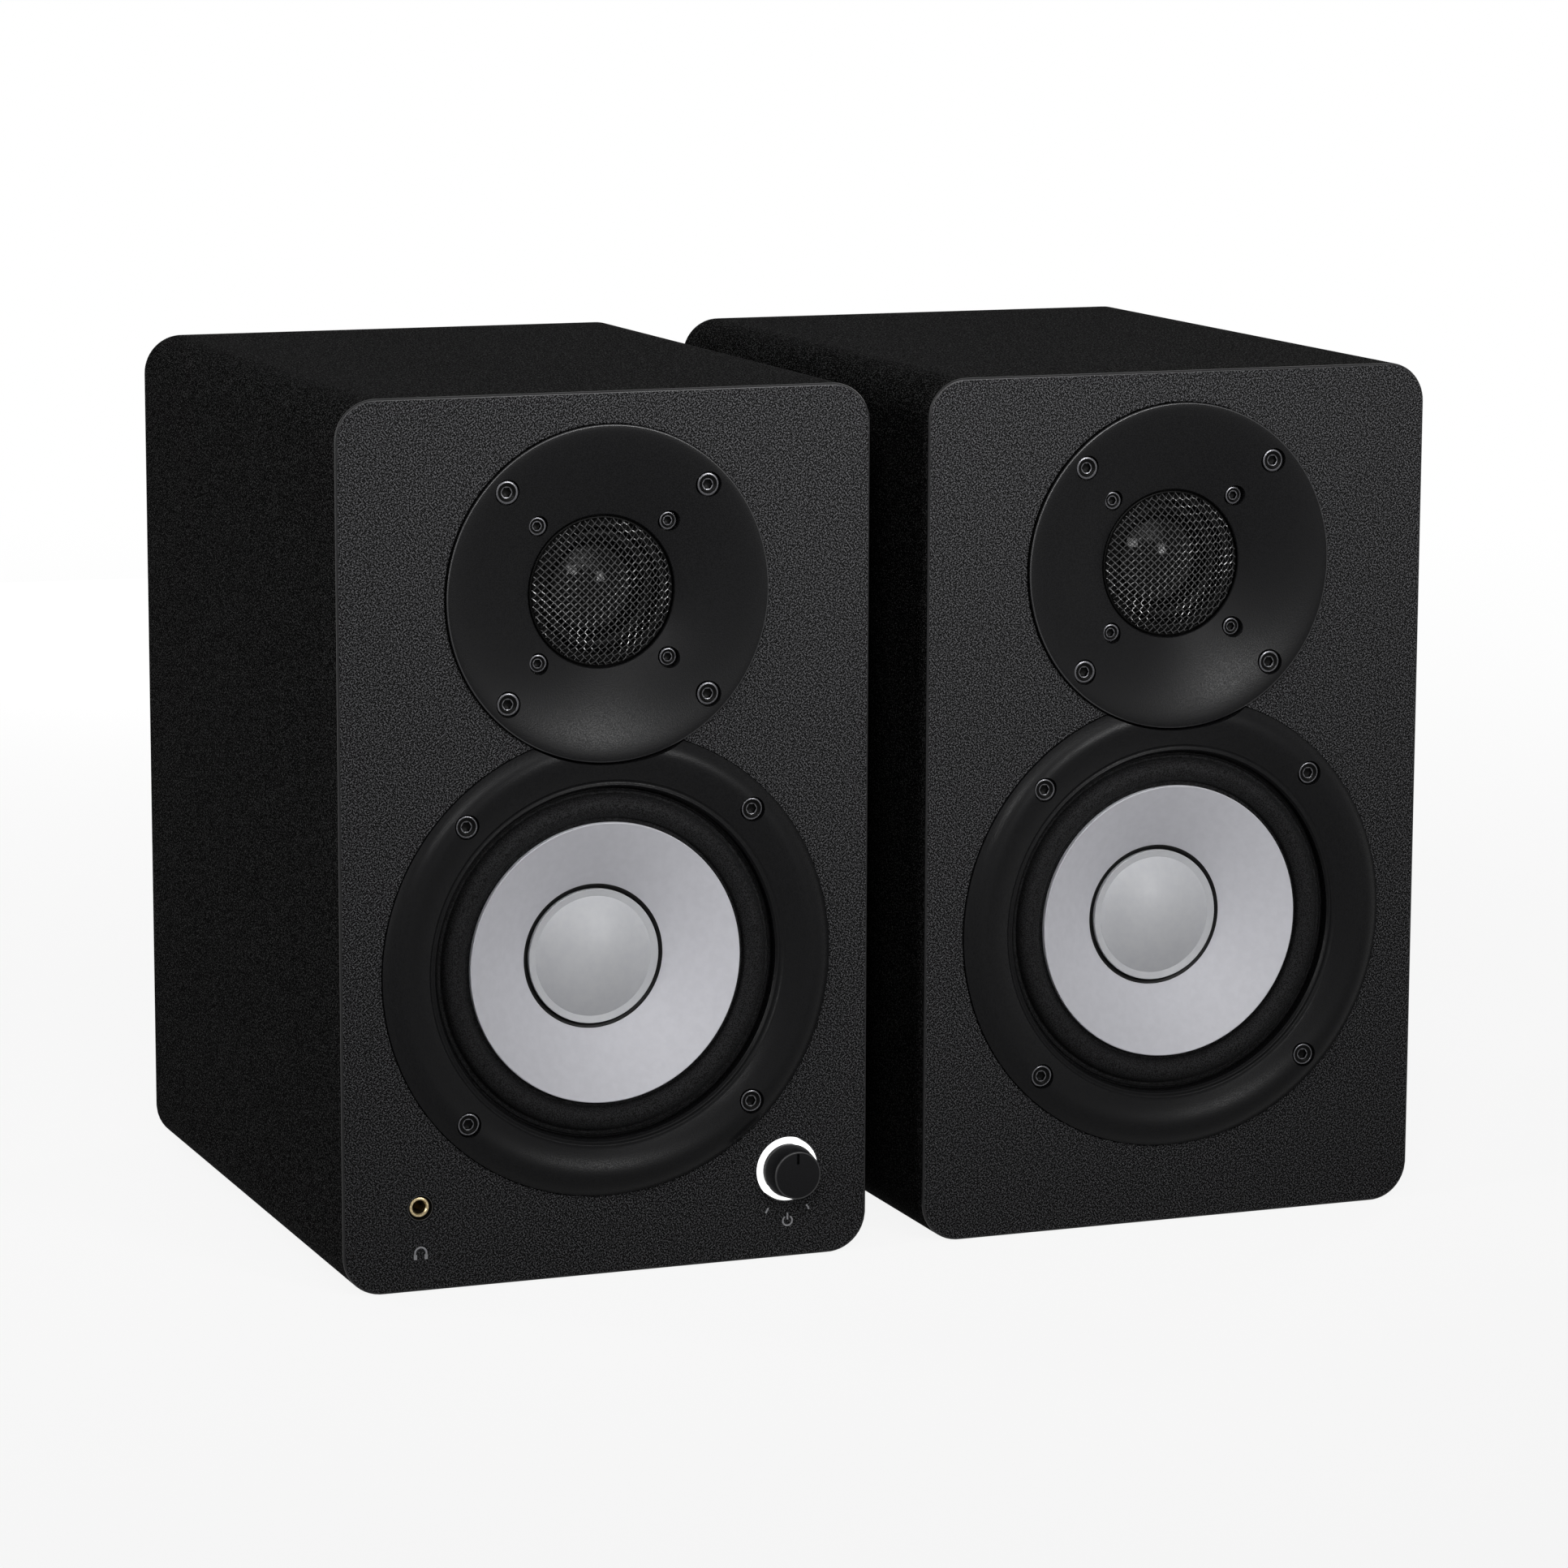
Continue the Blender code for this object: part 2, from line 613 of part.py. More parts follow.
def make_waveguide(speaker, parent, finish):
    """Round dished plate with a throat for the dome, a seat for the grille and sunk screw seats."""
    back = PLATE_REBATE - FIT
    seat = GRILLE_RADIUS + FIT
    flange_seat = BOSS_DEPTH - 0.8
    radii = np.linspace(DISH_RADIUS, seat, 5)
    profile = [(PLATE_RADIUS, back), (PLATE_RADIUS, 0.4 - PLATE_PROUD), (PLATE_RADIUS - 0.4, -PLATE_PROUD)]
    profile += [(radius, dish_depth(radius)) for radius in radii]
    profile += [
        (seat, GRILLE_SEAT_DEPTH),
        (THROAT_RADIUS, GRILLE_SEAT_DEPTH),
        (THROAT_RADIUS, flange_seat),
        (seat, flange_seat),
        (seat, BOSS_DEPTH),
        (BOSS_RADIUS, BOSS_DEPTH),
        (BOSS_RADIUS, back),
    ]
    place = (0.0, 0.0, TWEETER_HEIGHT)
    obj = turned(speaker.name("waveguide"), profile, finish, place, parent)
    outer = [
        rod(OUTER_SCREW_HEAD, -PLATE_PROUD - 2.0, 0.9, x, z) for x, z in square_places(OUTER_SCREW_RADIUS)
    ]
    sunk = dish_depth(INNER_SCREW_RADIUS) + 3.0
    inner = [
        rod(INNER_SCREW_HEAD, -PLATE_PROUD - 2.0, sunk, x, z) for x, z in square_places(INNER_SCREW_RADIUS)
    ]
    cut(obj, "screw_seats", merged(outer + inner))


def make_grille(speaker, parent, finish):
    """Domed grille pierced by rows of square openings on the diagonal."""
    reach = GRILLE_RADIUS - 0.5
    edge = GRILLE_SEAT_DEPTH - 1.6
    ball = (reach**2 + GRILLE_RISE**2) / (2 * GRILLE_RISE)
    foot = GRILLE_SEAT_DEPTH - FIT
    inner = GRILLE_RADIUS - 1.8
    shares = (1.0, 0.72, 0.38, 0.0)
    outside = [
        (s * reach, edge - np.sqrt(ball**2 - (s * reach) ** 2) + ball - GRILLE_RISE) for s in shares
    ]
    inside = [
        (s * inner, edge + GRILLE_THICK - np.sqrt(ball**2 - (s * inner) ** 2) + ball - GRILLE_RISE)
        for s in shares[::-1]
    ]
    profile = [(GRILLE_RADIUS, foot), (GRILLE_RADIUS, edge), *outside, *inside, (inner, foot)]
    obj = turned(speaker.name("grille"), profile, finish, (0.0, 0.0, TWEETER_HEIGHT), parent, SMALL_ROUND)
    half = GRILLE_HOLE * np.sqrt(0.5)
    steps = range(-8, 9)
    centres = [((i + j) * GRILLE_PITCH * np.sqrt(0.5), (i - j) * GRILLE_PITCH * np.sqrt(0.5))
               for i in steps for j in steps]
    limit = inner - half - 0.6
    diamond = np.array(((1, 0), (0, 1), (-1, 0), (0, -1))) * half
    holes = [
        lofted([(diamond + centre, edge - GRILLE_RISE - 2.0), (diamond + centre, foot + 2.0)])
        for centre in centres
        if np.hypot(*centre) < limit
    ]
    cut(obj, "openings", merged(holes))


def make_tweeter(speaker, parent, silk, rubber, steel):
    """Dome on its coil former, the roll that carries it, and the cup magnet with the coil's slot."""
    place = (0.0, 0.0, TWEETER_HEIGHT)
    base = BOSS_DEPTH
    former = DOME_RADIUS - 0.3
    dome = [(DOME_RADIUS, base + 0.5), (DOME_RADIUS, base)]
    dome += [(s * DOME_RADIUS, base - DOME_RISE * (1 - s**2)) for s in (0.6, 0.0)]
    dome += [(s * DOME_RADIUS, base + DOME_THICK - DOME_RISE * (1 - s**2)) for s in (0.0, 0.6)]
    dome += [(former - DOME_THICK, base + 0.3), (former - DOME_THICK, base + DOME_FORMER)]
    dome += [(former, base + DOME_FORMER), (former, base + 0.5)]
    turned(speaker.name("tweeter_dome"), dome, silk, place, parent, SMALL_ROUND)
    inner = DOME_RADIUS + RUNNING
    flange = ROLL_FLANGE_DEPTH
    crest = (inner + THROAT_RADIUS) / 2
    front = [(GRILLE_RADIUS, flange), (THROAT_RADIUS - 0.3, flange), (crest, flange - 1.4), (inner, flange)]
    roll = front + [(r, y + DOME_THICK) for r, y in front[::-1]]
    turned(speaker.name("tweeter_roll"), roll, rubber, place, parent, SMALL_ROUND)
    face = BOSS_DEPTH + FIT
    slot_inner = former - DOME_THICK - RUNNING
    slot_outer = inner
    motor = [
        (0.0, base + TWEETER_POLE_DROP),
        (slot_inner, base + TWEETER_POLE_DROP),
        (slot_inner, base + TWEETER_SLOT),
        (slot_outer, base + TWEETER_SLOT),
        (slot_outer, face),
        (BOSS_RADIUS - 2.0, face),
        (BOSS_RADIUS - 2.0, face + TWEETER_FLANGE),
        (TWEETER_MOTOR_RADIUS, face + TWEETER_FLANGE),
        (TWEETER_MOTOR_RADIUS, TWEETER_MOTOR_DEPTH),
        (0.0, TWEETER_MOTOR_DEPTH),
    ]
    turned(speaker.name("tweeter_motor"), motor, steel, place, parent, SMALL_ROUND)


def make_port(speaker, parent, finish):
    """Flared bass port tube through the rear board."""
    seat = BOARD_FACE + FIT
    flare = PORT_RADIUS + PORT_WALL + PORT_FLARE
    tube = PORT_RADIUS + PORT_WALL
    inside = BOARD_FACE - REAR_BOARD
    profile = [
        (PORT_FLANGE, seat),
        (PORT_FLANGE, seat + 1.2),
        (flare + 0.5, seat + 2.0),
        (flare - 2.0, seat + 1.2),
        (PORT_RADIUS + 1.8, seat - 4.0),
        (PORT_RADIUS, seat - 11.0),
        (PORT_RADIUS, seat - PORT_LENGTH),
        (tube, seat - PORT_LENGTH),
        (tube, inside - 6.0),
        (flare, inside),
        (flare, seat),
    ]
    turned(speaker.name("port_tube"), profile, finish, (0.0, 0.0, PORT_HEIGHT), parent, SMALL_ROUND)


def make_terminals(speaker, parent, x, z, seat, circuit, finishes):
    """Two-way spring terminal block, with a lever that hinges in each pocket."""
    pocket = (TERMINAL_WIDTH - 12.0) / 2
    near = circuit + FIT
    face = seat + FIT + TERMINAL_RAISED
    body = rectangle(*TERMINAL_BODY)
    raised = rectangle(TERMINAL_WIDTH, TERMINAL_TALL)
    sections = [(body, near), (body, seat + FIT), (raised, seat + FIT), (raised, face)]
    block_obj = loft(speaker.name("terminal_block"), sections, finishes["black"], (x, 0.0, z), parent)
    floor = seat - 2.5
    centres = [side * (pocket / 2 + 2.0) for side in (-1, 1)]
    pockets = [block(pocket, 16.0, floor, face + 1.0, x=c) for c in centres]
    cut(block_obj, "pockets", merged(pockets))
    tip = TERMINAL_REACH
    outline = [(-2.0, 2.0), (1.8, 2.0), (3.0, 0.0), (tip - 4.0, -7.0), (tip - 4.0, -9.5), (tip - 6.0, -9.5)]
    outline += [(0.5, -3.0), (-2.0, -2.0)]
    wide = pocket / 2 - FIT
    for colour, centre in zip(("red", "black"), centres):
        points = [(side * wide, y, up) for side in (-1, 1) for y, up in outline]
        count = len(outline)
        faces = [list(range(count)), list(range(count, 2 * count))[::-1]]
        faces += [[i, (i + 1) % count, count + (i + 1) % count, count + i] for i in range(count)]
        place = (x + centre, seat + 4.0, z + 4.5)
        add_object(speaker.name(f"lever_{colour}"), points, faces, finishes[colour], place, parent)


def make_amplifier_panel(speaker, parent, finishes):
    """Metal panel over the rear board's opening, pierced for its connectors."""
    near = BOARD_FACE + FIT
    place = (0.0, 0.0, PANEL_HEIGHT)
    sections = [(rounded_outline(PANEL_WIDTH, PANEL_TALL, 3.0, 2), depth) for depth in (near, PANEL_FACE)]
    obj = loft("amplifier_panel", sections, finishes["panel"], place, parent)
    span = (near - 1.0, PANEL_FACE + 1.0)
    holes = [block(*loose(COMBO_BODY), *span, x, COMBO_JACK_Z) for x in COMBO_JACK_X]
    holes.append(block(*loose(PHONO_BODY), *span, PHONO_X, PHONO_Z))
    holes.append(block(*loose(INLET_BODY), *span, INLET_X, INLET_Z))
    holes.append(block(*loose(TERMINAL_BODY), *span, TERMINAL_X, TERMINAL_Z))
    travel = (SWITCH_TAB[0] + 2 * SWITCH_TRAVEL, SWITCH_TAB[1])
    holes += [block(*loose(travel), *span, x, SWITCH_Z) for x in SWITCH_X]
    cut(obj, "connector_holes", merged(holes))


def make_connectors(parent, finishes):
    """Combination jacks, phono sockets and mains inlet, each from the panel down to the circuit board."""
    near = CIRCUIT_FACE + FIT
    seat = PANEL_FACE + FIT
    for side, x in zip(("left", "right"), COMBO_JACK_X):
        sections = [(rectangle(*COMBO_BODY), near), (rectangle(*COMBO_BODY), seat)]
        sections += [(rectangle(*COMBO_FLANGE), seat), (rectangle(*COMBO_FLANGE), seat + 2.0)]
        place = (x, 0.0, PANEL_HEIGHT + COMBO_JACK_Z)
        obj = loft(f"combo_jack_{side}", sections, finishes["black"], place, parent)
        socket = [(0.0, near + 3.0), (3.4, near + 3.0), (3.4, seat - 8.0), (9.5, seat - 8.0)]
        socket += [(9.5, seat + 4.0), (0.0, seat + 4.0)]
        cut(obj, "socket", revolved(socket, SMALL_ROUND))
    body = rectangle(*PHONO_BODY)
    flange = rectangle(PHONO_BODY[0] + 3.0, PHONO_BODY[1] + 3.0)
    sections = [(body, near), (body, seat), (flange, seat), (flange, seat + 1.5)]
    place = (PHONO_X, 0.0, PANEL_HEIGHT + PHONO_Z)
    obj = loft("phono_sockets", sections, finishes["black"], place, parent)
    barrels = [rod(4.1, seat, seat + PHONO_REACH, x) for x in (-PHONO_SPACING / 2, PHONO_SPACING / 2)]
    join(obj, "barrels", merged(barrels))
    bores = [rod(1.6, seat - 8.0, seat + PHONO_REACH + 1.0, x, sides=8)
             for x in (-PHONO_SPACING / 2, PHONO_SPACING / 2)]
    cut(obj, "bores", merged(bores))
    body = rectangle(*INLET_BODY)
    flange = rectangle(INLET_BODY[0] + 6.0, INLET_BODY[1] + 4.0)
    sections = [(body, near), (body, seat), (flange, seat), (flange, seat + 2.0)]
    place = (INLET_X, 0.0, PANEL_HEIGHT + INLET_Z)
    obj = loft("mains_inlet", sections, finishes["black"], place, parent)
    recess = rounded_outline(16.0, 8.4, 4.0, 3)
    cut(obj, "recess", lofted([(recess, seat - 9.0), (recess, seat + 4.0)]))
    pins = [rod(1.2, seat - 10.0, seat - 1.0, x, sides=8) for x in (-4.3, 4.3)]
    join(obj, "pins", merged(pins))


def make_circuits(parent, finishes):
    """Amplifier board with its capacitors and switch bodies, and the parts that stand on it."""
    place = (0.0, 0.0, PANEL_HEIGHT)
    near = CIRCUIT_FACE - BOARD_THICK
    board = (PANEL_WIDTH - 8.0, PANEL_TALL - 8.0)
    sections = [(rectangle(*board), near), (rectangle(*board), CIRCUIT_FACE)]
    obj = loft("amplifier_board", sections, finishes["board"], place, parent)
    deep = BOARD_THICK / 2
    switch_top = PANEL_FACE - PANEL_THICK - 3.0
    parts = [block(*SWITCH_BODY, CIRCUIT_FACE - deep, switch_top, x, SWITCH_Z) for x in SWITCH_X]
    parts += [rod(CAPACITOR_RADIUS, near - CAPACITOR_TALL, near + deep, x, CAPACITOR_Z) for x in CAPACITOR_X]
    join(obj, "board_parts", merged(parts))
    top = near - FIT
    core = [(rectangle(*CORE_SIZE), top - CORE_DEEP), (rectangle(*CORE_SIZE), top)]
    obj = loft("transformer", core, finishes["core"], (CORE_X, 0.0, PANEL_HEIGHT + CORE_Z), parent)
    join(obj, "winding", block(*WINDING_SIZE, top - CORE_DEEP + WINDING_INSET, top - WINDING_INSET))
    half = SINK_WIDTH / 2
    step = (SINK_WIDTH - SINK_FIN) / (SINK_FINS - 1)
    comb = [(-half, top), (half, top)]
    for fin in range(SINK_FINS):
        right = half - fin * step
        comb += [(right, top - SINK_DEEP), (right - SINK_FIN, top - SINK_DEEP)]
        if fin < SINK_FINS - 1:
            comb += [(right - SINK_FIN, top - SINK_BASE), (right - step, top - SINK_BASE)]
    count = len(comb)
    points = [(x, y, side * SINK_TALL / 2) for side in (-1, 1) for x, y in comb]
    faces = [list(range(count)), list(range(count, 2 * count))[::-1]]
    faces += [[i, (i + 1) % count, count + (i + 1) % count, count + i] for i in range(count)]
    place = (SINK_X, 0.0, PANEL_HEIGHT + SINK_Z)
    add_object("heat_sink", points, faces, finishes["aluminium"], place, parent)
    for name, x in zip(("room_switch", "treble_switch"), SWITCH_X):
        tab = rectangle(*SWITCH_TAB)
        sections = [(tab, switch_top + FIT), (tab, PANEL_FACE + 3.0)]
        loft(name, sections, finishes["black"], (x, 0.0, PANEL_HEIGHT + SWITCH_Z), parent)


def make_controls(parent, finishes):
    """Volume knob on its shaft, the light ring round it, the control behind it, and the headphone jack."""
    place = (KNOB_X, 0.0, KNOB_HEIGHT)
    face = KNOB_RADIUS - KNOB_TAPER
    bore = SHAFT_RADIUS + FIT
    shaft_tip = -KNOB_REACH + 3.5
    body_front = BAFFLE + FIT
    body_back = CONTROL_BOARD_DEPTH - FIT
    plunger_face = body_back - 1.0 - KNOB_PRESS - 3.0
    knob = [
        (0.0, -KNOB_REACH),
        (face - 0.4, -KNOB_REACH),
        (face, -KNOB_REACH + 0.4),
        (KNOB_RADIUS, KNOB_SUNK),
        (bore, KNOB_SUNK),
        (bore, shaft_tip - FIT),
        (0.0, shaft_tip - FIT),
    ]
    obj = turned("volume_knob", knob, finishes["knob"], place, parent, ROUND)
    mark = block(1.0, 3.0, -KNOB_REACH - 1.0, -KNOB_REACH + 0.5, z=face - 1.4)
    cut(obj, "pointer", mark)
    shaft = [(0.0, shaft_tip), (SHAFT_RADIUS, shaft_tip), (SHAFT_RADIUS, plunger_face - FIT)]
    shaft.append((0.0, plunger_face - FIT))
    turned("knob_shaft", shaft, finishes["steel"], place, parent, SMALL_ROUND)
    plunger = [(0.0, plunger_face), (SHAFT_RADIUS - 0.2, plunger_face)]
    plunger += [(SHAFT_RADIUS - 0.2, plunger_face + 3.0), (0.0, plunger_face + 3.0)]
    turned("power_plunger", plunger, finishes["black"], place, parent, SMALL_ROUND)
    well = KNOB_RADIUS + RUNNING
    floor = KNOB_SUNK + KNOB_PRESS + 2.5
    ring = [
        (LIGHT_RING_RADIUS, BAFFLE - FIT),
        (LIGHT_RING_RADIUS, -0.2),
        (well, -0.2),
        (well, floor),
        (SHAFT_RADIUS + RUNNING, floor),
        (SHAFT_RADIUS + RUNNING, BAFFLE - FIT),
    ]
    turned("light_ring", ring, finishes["light"], place, parent, SMALL_ROUND)
    body = rectangle(CONTROL_BODY, CONTROL_BODY)
    sections = [(body, body_front), (body, body_back)]
    obj = loft("volume_control", sections, finishes["black"], place, parent)
    cut(obj, "shaft_bore", rod(bore, body_front - 1.0, body_back - 0.8, sides=SMALL_ROUND))
    jack = [
        (JACK_BORE, 0.8),
        (JACK_RADIUS, 0.8),
        (JACK_RADIUS, body_front),
        (5.0, body_front),
        (5.0, body_back),
        (0.0, body_back),
        (0.0, body_back - 3.0),
        (JACK_BORE, body_back - 3.0),
    ]
    turned("headphone_jack", jack, finishes["brass"], (JACK_X, 0.0, JACK_HEIGHT), parent, HOLE_ROUND)
    board = rectangle(CABINET_WIDTH - 2 * (WALL + CONTROL_BOARD_MARGIN), CONTROL_BOARD_TALL)
    sections = [(board, CONTROL_BOARD_DEPTH), (board, CONTROL_BOARD_DEPTH + BOARD_THICK)]
    loft("control_board", sections, finishes["board"], (0.0, 0.0, KNOB_HEIGHT - 1.0), parent)


def make_crossover(parent, finishes, circuit):
    """Passive speaker's crossover board, with its coil and capacitors."""
    near = circuit - BOARD_THICK
    sections = [(rectangle(*CROSSOVER_SIZE), near), (rectangle(*CROSSOVER_SIZE), circuit)]
    obj = loft("crossover_board", sections, finishes["board"], (0.0, 0.0, RIGHT_TERMINAL_HEIGHT), parent)
    deep = BOARD_THICK / 2
    parts = [rod(CHOKE_RADIUS, near - CHOKE_TALL, near + deep, *CHOKE_PLACE, SMALL_ROUND)]
    parts += [rod(FILTER_RADIUS, near - FILTER_TALL, near + deep, x, FILTER_Z) for x in FILTER_X]
    join(obj, "board_parts", merged(parts))


def make_finishes():
    return {
        "cabinet": material("textured black board", (0.030, 0.030, 0.032), roughness=0.75),
        "rear": material("black rear board", (0.025, 0.025, 0.026), roughness=0.8),
        "frame": material("moulded black frame", (0.020, 0.020, 0.021), roughness=0.5),
        "rubber": material("black rubber", (0.015, 0.015, 0.015), roughness=0.85),
        "cone": material("pale moulded cone", (0.52, 0.52, 0.54), roughness=0.55),
        "cap": material("pale moulded cap", (0.53, 0.53, 0.55), roughness=0.5),
        "coil": material("copper winding", (0.65, 0.28, 0.14), metallic=1.0, roughness=0.4),
        "spider": material("woven spider", (0.55, 0.38, 0.16), roughness=0.9),
        "steel": material("zinc plated steel", (0.62, 0.62, 0.64), metallic=1.0, roughness=0.35),
        "ferrite": material("ferrite magnet", (0.04, 0.04, 0.045), roughness=0.7),
        "grille": material("black wire grille", (0.03, 0.03, 0.03), metallic=0.6, roughness=0.5),
        "silk": material("coated dome", (0.03, 0.03, 0.035), roughness=0.4),
        "panel": material("black painted panel", (0.02, 0.02, 0.02), metallic=0.3, roughness=0.6),
        "black": material("black plastic", (0.018, 0.018, 0.018), roughness=0.5),
        "red": material("red plastic", (0.42, 0.02, 0.02), roughness=0.5),
        "board": material("green circuit board", (0.02, 0.16, 0.06), roughness=0.6),
        "core": material("transformer core", (0.10, 0.09, 0.08), roughness=0.7),
        "aluminium": material("bare aluminium", (0.72, 0.72, 0.73), metallic=1.0, roughness=0.4),
        "knob": material("matt black knob", (0.02, 0.02, 0.021), roughness=0.55),
        "light": material("white light ring", (0.85, 0.87, 0.90), roughness=0.4),
        "brass": material("brass jack", (0.55, 0.42, 0.18), metallic=1.0, roughness=0.35),
    }


def make_speaker(speaker, finishes):
    """Everything that both cabinets hold, under one empty at the foot of the front face."""
    parent = bpy.data.objects.new(speaker.name("speaker"), None)
    bpy.context.scene.collection.objects.link(parent)
    parent.location = np.array((speaker.centre, FRONT_Y, 0.0)) * MM
    make_cabinet(speaker, parent, finishes["cabinet"])
    make_rear_board(speaker, parent, finishes["rear"])
    make_woofer_frame(speaker, parent, finishes["frame"])
    make_surround(speaker, parent, finishes["rubber"])
    make_cone(speaker, parent, finishes["cone"])
    make_dust_cap(speaker, parent, finishes["cap"])
    make_voice_coil(speaker, parent, finishes["coil"])
    make_spider(speaker, parent, finishes["spider"])
    make_woofer_motor(speaker, parent, finishes["steel"], finishes["ferrite"])
    make_waveguide(speaker, parent, finishes["frame"])
    make_grille(speaker, parent, finishes["grille"])
    make_tweeter(speaker, parent, finishes["silk"], finishes["rubber"], finishes["steel"])
    make_port(speaker, parent, finishes["black"])
    return parent


def main():
    clear_scene()
    finishes = make_finishes()
    left = Speaker("left", -PAIR_SPACING / 2, True)
    right = Speaker("right", PAIR_SPACING / 2, False)
    left_parent = make_speaker(left, finishes)
    right_parent = make_speaker(right, finishes)
    make_amplifier_panel(left, left_parent, finishes)
    make_connectors(left_parent, finishes)
    make_circuits(left_parent, finishes)
    make_controls(left_parent, finishes)
    height = PANEL_HEIGHT + TERMINAL_Z
    make_terminals(left, left_parent, TERMINAL_X, height, PANEL_FACE, CIRCUIT_FACE, finishes)
    seat = BOARD_FACE
    circuit = seat - BOARD_GAP
    make_terminals(right, right_parent, 0.0, RIGHT_TERMINAL_HEIGHT, seat, circuit, finishes)
    make_crossover(right_parent, finishes, circuit)


main()
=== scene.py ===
"""Looks of a pair of desktop monitor loudspeakers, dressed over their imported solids.

Sizes are millimetres in a speaker's own terms: x from its centre line, depth behind its front
face and z above its base. They become metres in the solids' frame as meshes are made.
"""

import logging
from collections.abc import Sequence
from dataclasses import dataclass
from enum import Enum

import bmesh
import bpy
import numpy as np
from mathutils import Matrix
from numpy.typing import NDArray


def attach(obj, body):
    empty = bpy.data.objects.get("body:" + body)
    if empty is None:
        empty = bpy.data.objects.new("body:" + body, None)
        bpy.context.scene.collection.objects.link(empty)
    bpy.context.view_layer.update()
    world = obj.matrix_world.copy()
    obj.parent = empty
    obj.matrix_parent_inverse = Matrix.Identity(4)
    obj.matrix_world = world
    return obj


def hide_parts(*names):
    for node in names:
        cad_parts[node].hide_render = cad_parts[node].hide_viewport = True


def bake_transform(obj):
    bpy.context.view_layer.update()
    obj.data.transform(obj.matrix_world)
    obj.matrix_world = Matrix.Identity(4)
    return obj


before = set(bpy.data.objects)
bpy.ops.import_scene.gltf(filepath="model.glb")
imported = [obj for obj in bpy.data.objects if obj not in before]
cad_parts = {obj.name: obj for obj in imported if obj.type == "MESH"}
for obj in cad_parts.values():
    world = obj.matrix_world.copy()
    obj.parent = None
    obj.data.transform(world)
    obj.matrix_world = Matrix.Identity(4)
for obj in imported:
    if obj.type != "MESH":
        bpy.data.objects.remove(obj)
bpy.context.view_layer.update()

Array = NDArray[np.float64]
Numbers = NDArray[np.int64]
Socket = bpy.types.NodeSocket

LOG = logging.getLogger("monitors")

MM = 0.001
MERGE = 1e-6
PHOTO_PIXELS = 1932
SENSOR_MM = 36.0
WHITE = (1.0, 1.0, 1.0, 1.0)

# Edges sharper than this many degrees stay sharp, where a piece names no angle of its own.
CREASE = 35.0

# How far the middle of a rounded edge lies from its two faces, as a share of its radius.
EASE_MIDDLE = 0.3

# The pair's layout, as in the solids: the front faces' place, half the cabinets' spacing, the heights
# of the drivers, the depths of the rear board's and the amplifier panel's faces, and seated pieces' gap.
FRONT_Y = -98.45
HALF_PAIR = 83.5
ROOT = "cabinets"
WOOFER_Z = 85.5
TWEETER_Z = 186.0
BOARD_FACE = 190.0
PANEL_FACE = 191.9
CLEARANCE = 0.3

# Places (x, z) of the volume knob and the headphone jack on the left speaker's front.
KNOB_AT = (51.8, 24.6)
JACK_AT = (-53.4, 22.9)

# Directions of two places (x, depth, z) side by side.
SIDE_BY_SIDE = np.array(((-1.0, 0.0, 0.0), (1.0, 0.0, 0.0)))


class Seat(Enum):
    """Which of the two speakers a piece belongs to."""

    LEFT = "left"
    RIGHT = "right"

    @property
    def centre(self) -> float:
        """The speaker's centre line across the pair."""
        return -HALF_PAIR if self is Seat.LEFT else HALF_PAIR

    def named(self, piece: str) -> str:
        """A piece's name with its speaker's in front."""
        return f"{self.value}_{piece}"

    def placed(self, shape: "Surface", x: float, z: float) -> "Surface":
        """A shape moved to a place across and up this speaker, with its depth 0 at the front face."""
        return shape.moved(self.centre + x, FRONT_Y, z)


class Pattern(Enum):
    """How a finish's small pattern is laid over a surface."""

    GRAIN = "random grain"
    ASKEW = "random grain turned about the depth"
    FOIL = "grain drawn out along the depth"
    BRUSHED = "scratches drawn out across"
    WOUND = "turns of wire along the depth"
    WOVEN = "two crossed sets of threads"


# How a pattern's coordinates are stretched and turned, in radians. The foil's are turned off the
# faces, so that each of them cuts the noise alike.
LAID: dict[Pattern, dict[str, tuple[float, float, float]]] = {
    Pattern.ASKEW: {"Rotation": (0.0, 0.65, 0.0)},
    Pattern.FOIL: {"Scale": (1.0, 0.5, 1.0), "Rotation": (0.6, 0.4, 0.7)},
    Pattern.BRUSHED: {"Scale": (0.04, 1.0, 1.0)},
}


@dataclass(frozen=True)
class Surface:
    """A shape's points in millimetres and the point numbers of its four-sided faces."""

    points: Array
    faces: Numbers

    def moved(self, x: float = 0.0, depth: float = 0.0, z: float = 0.0) -> "Surface":
        """The same shape in another place."""
        return Surface(self.points + (x, depth, z), self.faces)


@dataclass(frozen=True)
class Bump:
    """A bell-shaped rise: its height, the place of its middle and its width."""

    high: float
    middle: float
    width: float

    def at(self, place: Array) -> Array:
        """Its height at each place: high times exp(-((place - middle) / width)^2)."""
        return self.high * np.exp(-(((place - self.middle) / self.width) ** 2))


@dataclass(frozen=True)
class Fixing:
    """The body a piece rides on, its material slot and the solids it stands for."""

    body: str
    slot: str
    stands_for: tuple[str, ...] = ()


def linear(colour: str) -> tuple[float, ...]:
    """Turns an sRGB hex colour to linear light.

    Args:
        colour: Six hex digits after a hash sign.

    Returns:
        Red, green, blue and an alpha of 1.
    """
    value = np.array([int(colour[i : i + 2], 16) for i in (1, 3, 5)]) / 255.0
    light = np.where(value <= 0.04045, value / 12.92, ((value + 0.055) / 1.055) ** 2.4)
    return (*light.tolist(), 1.0)


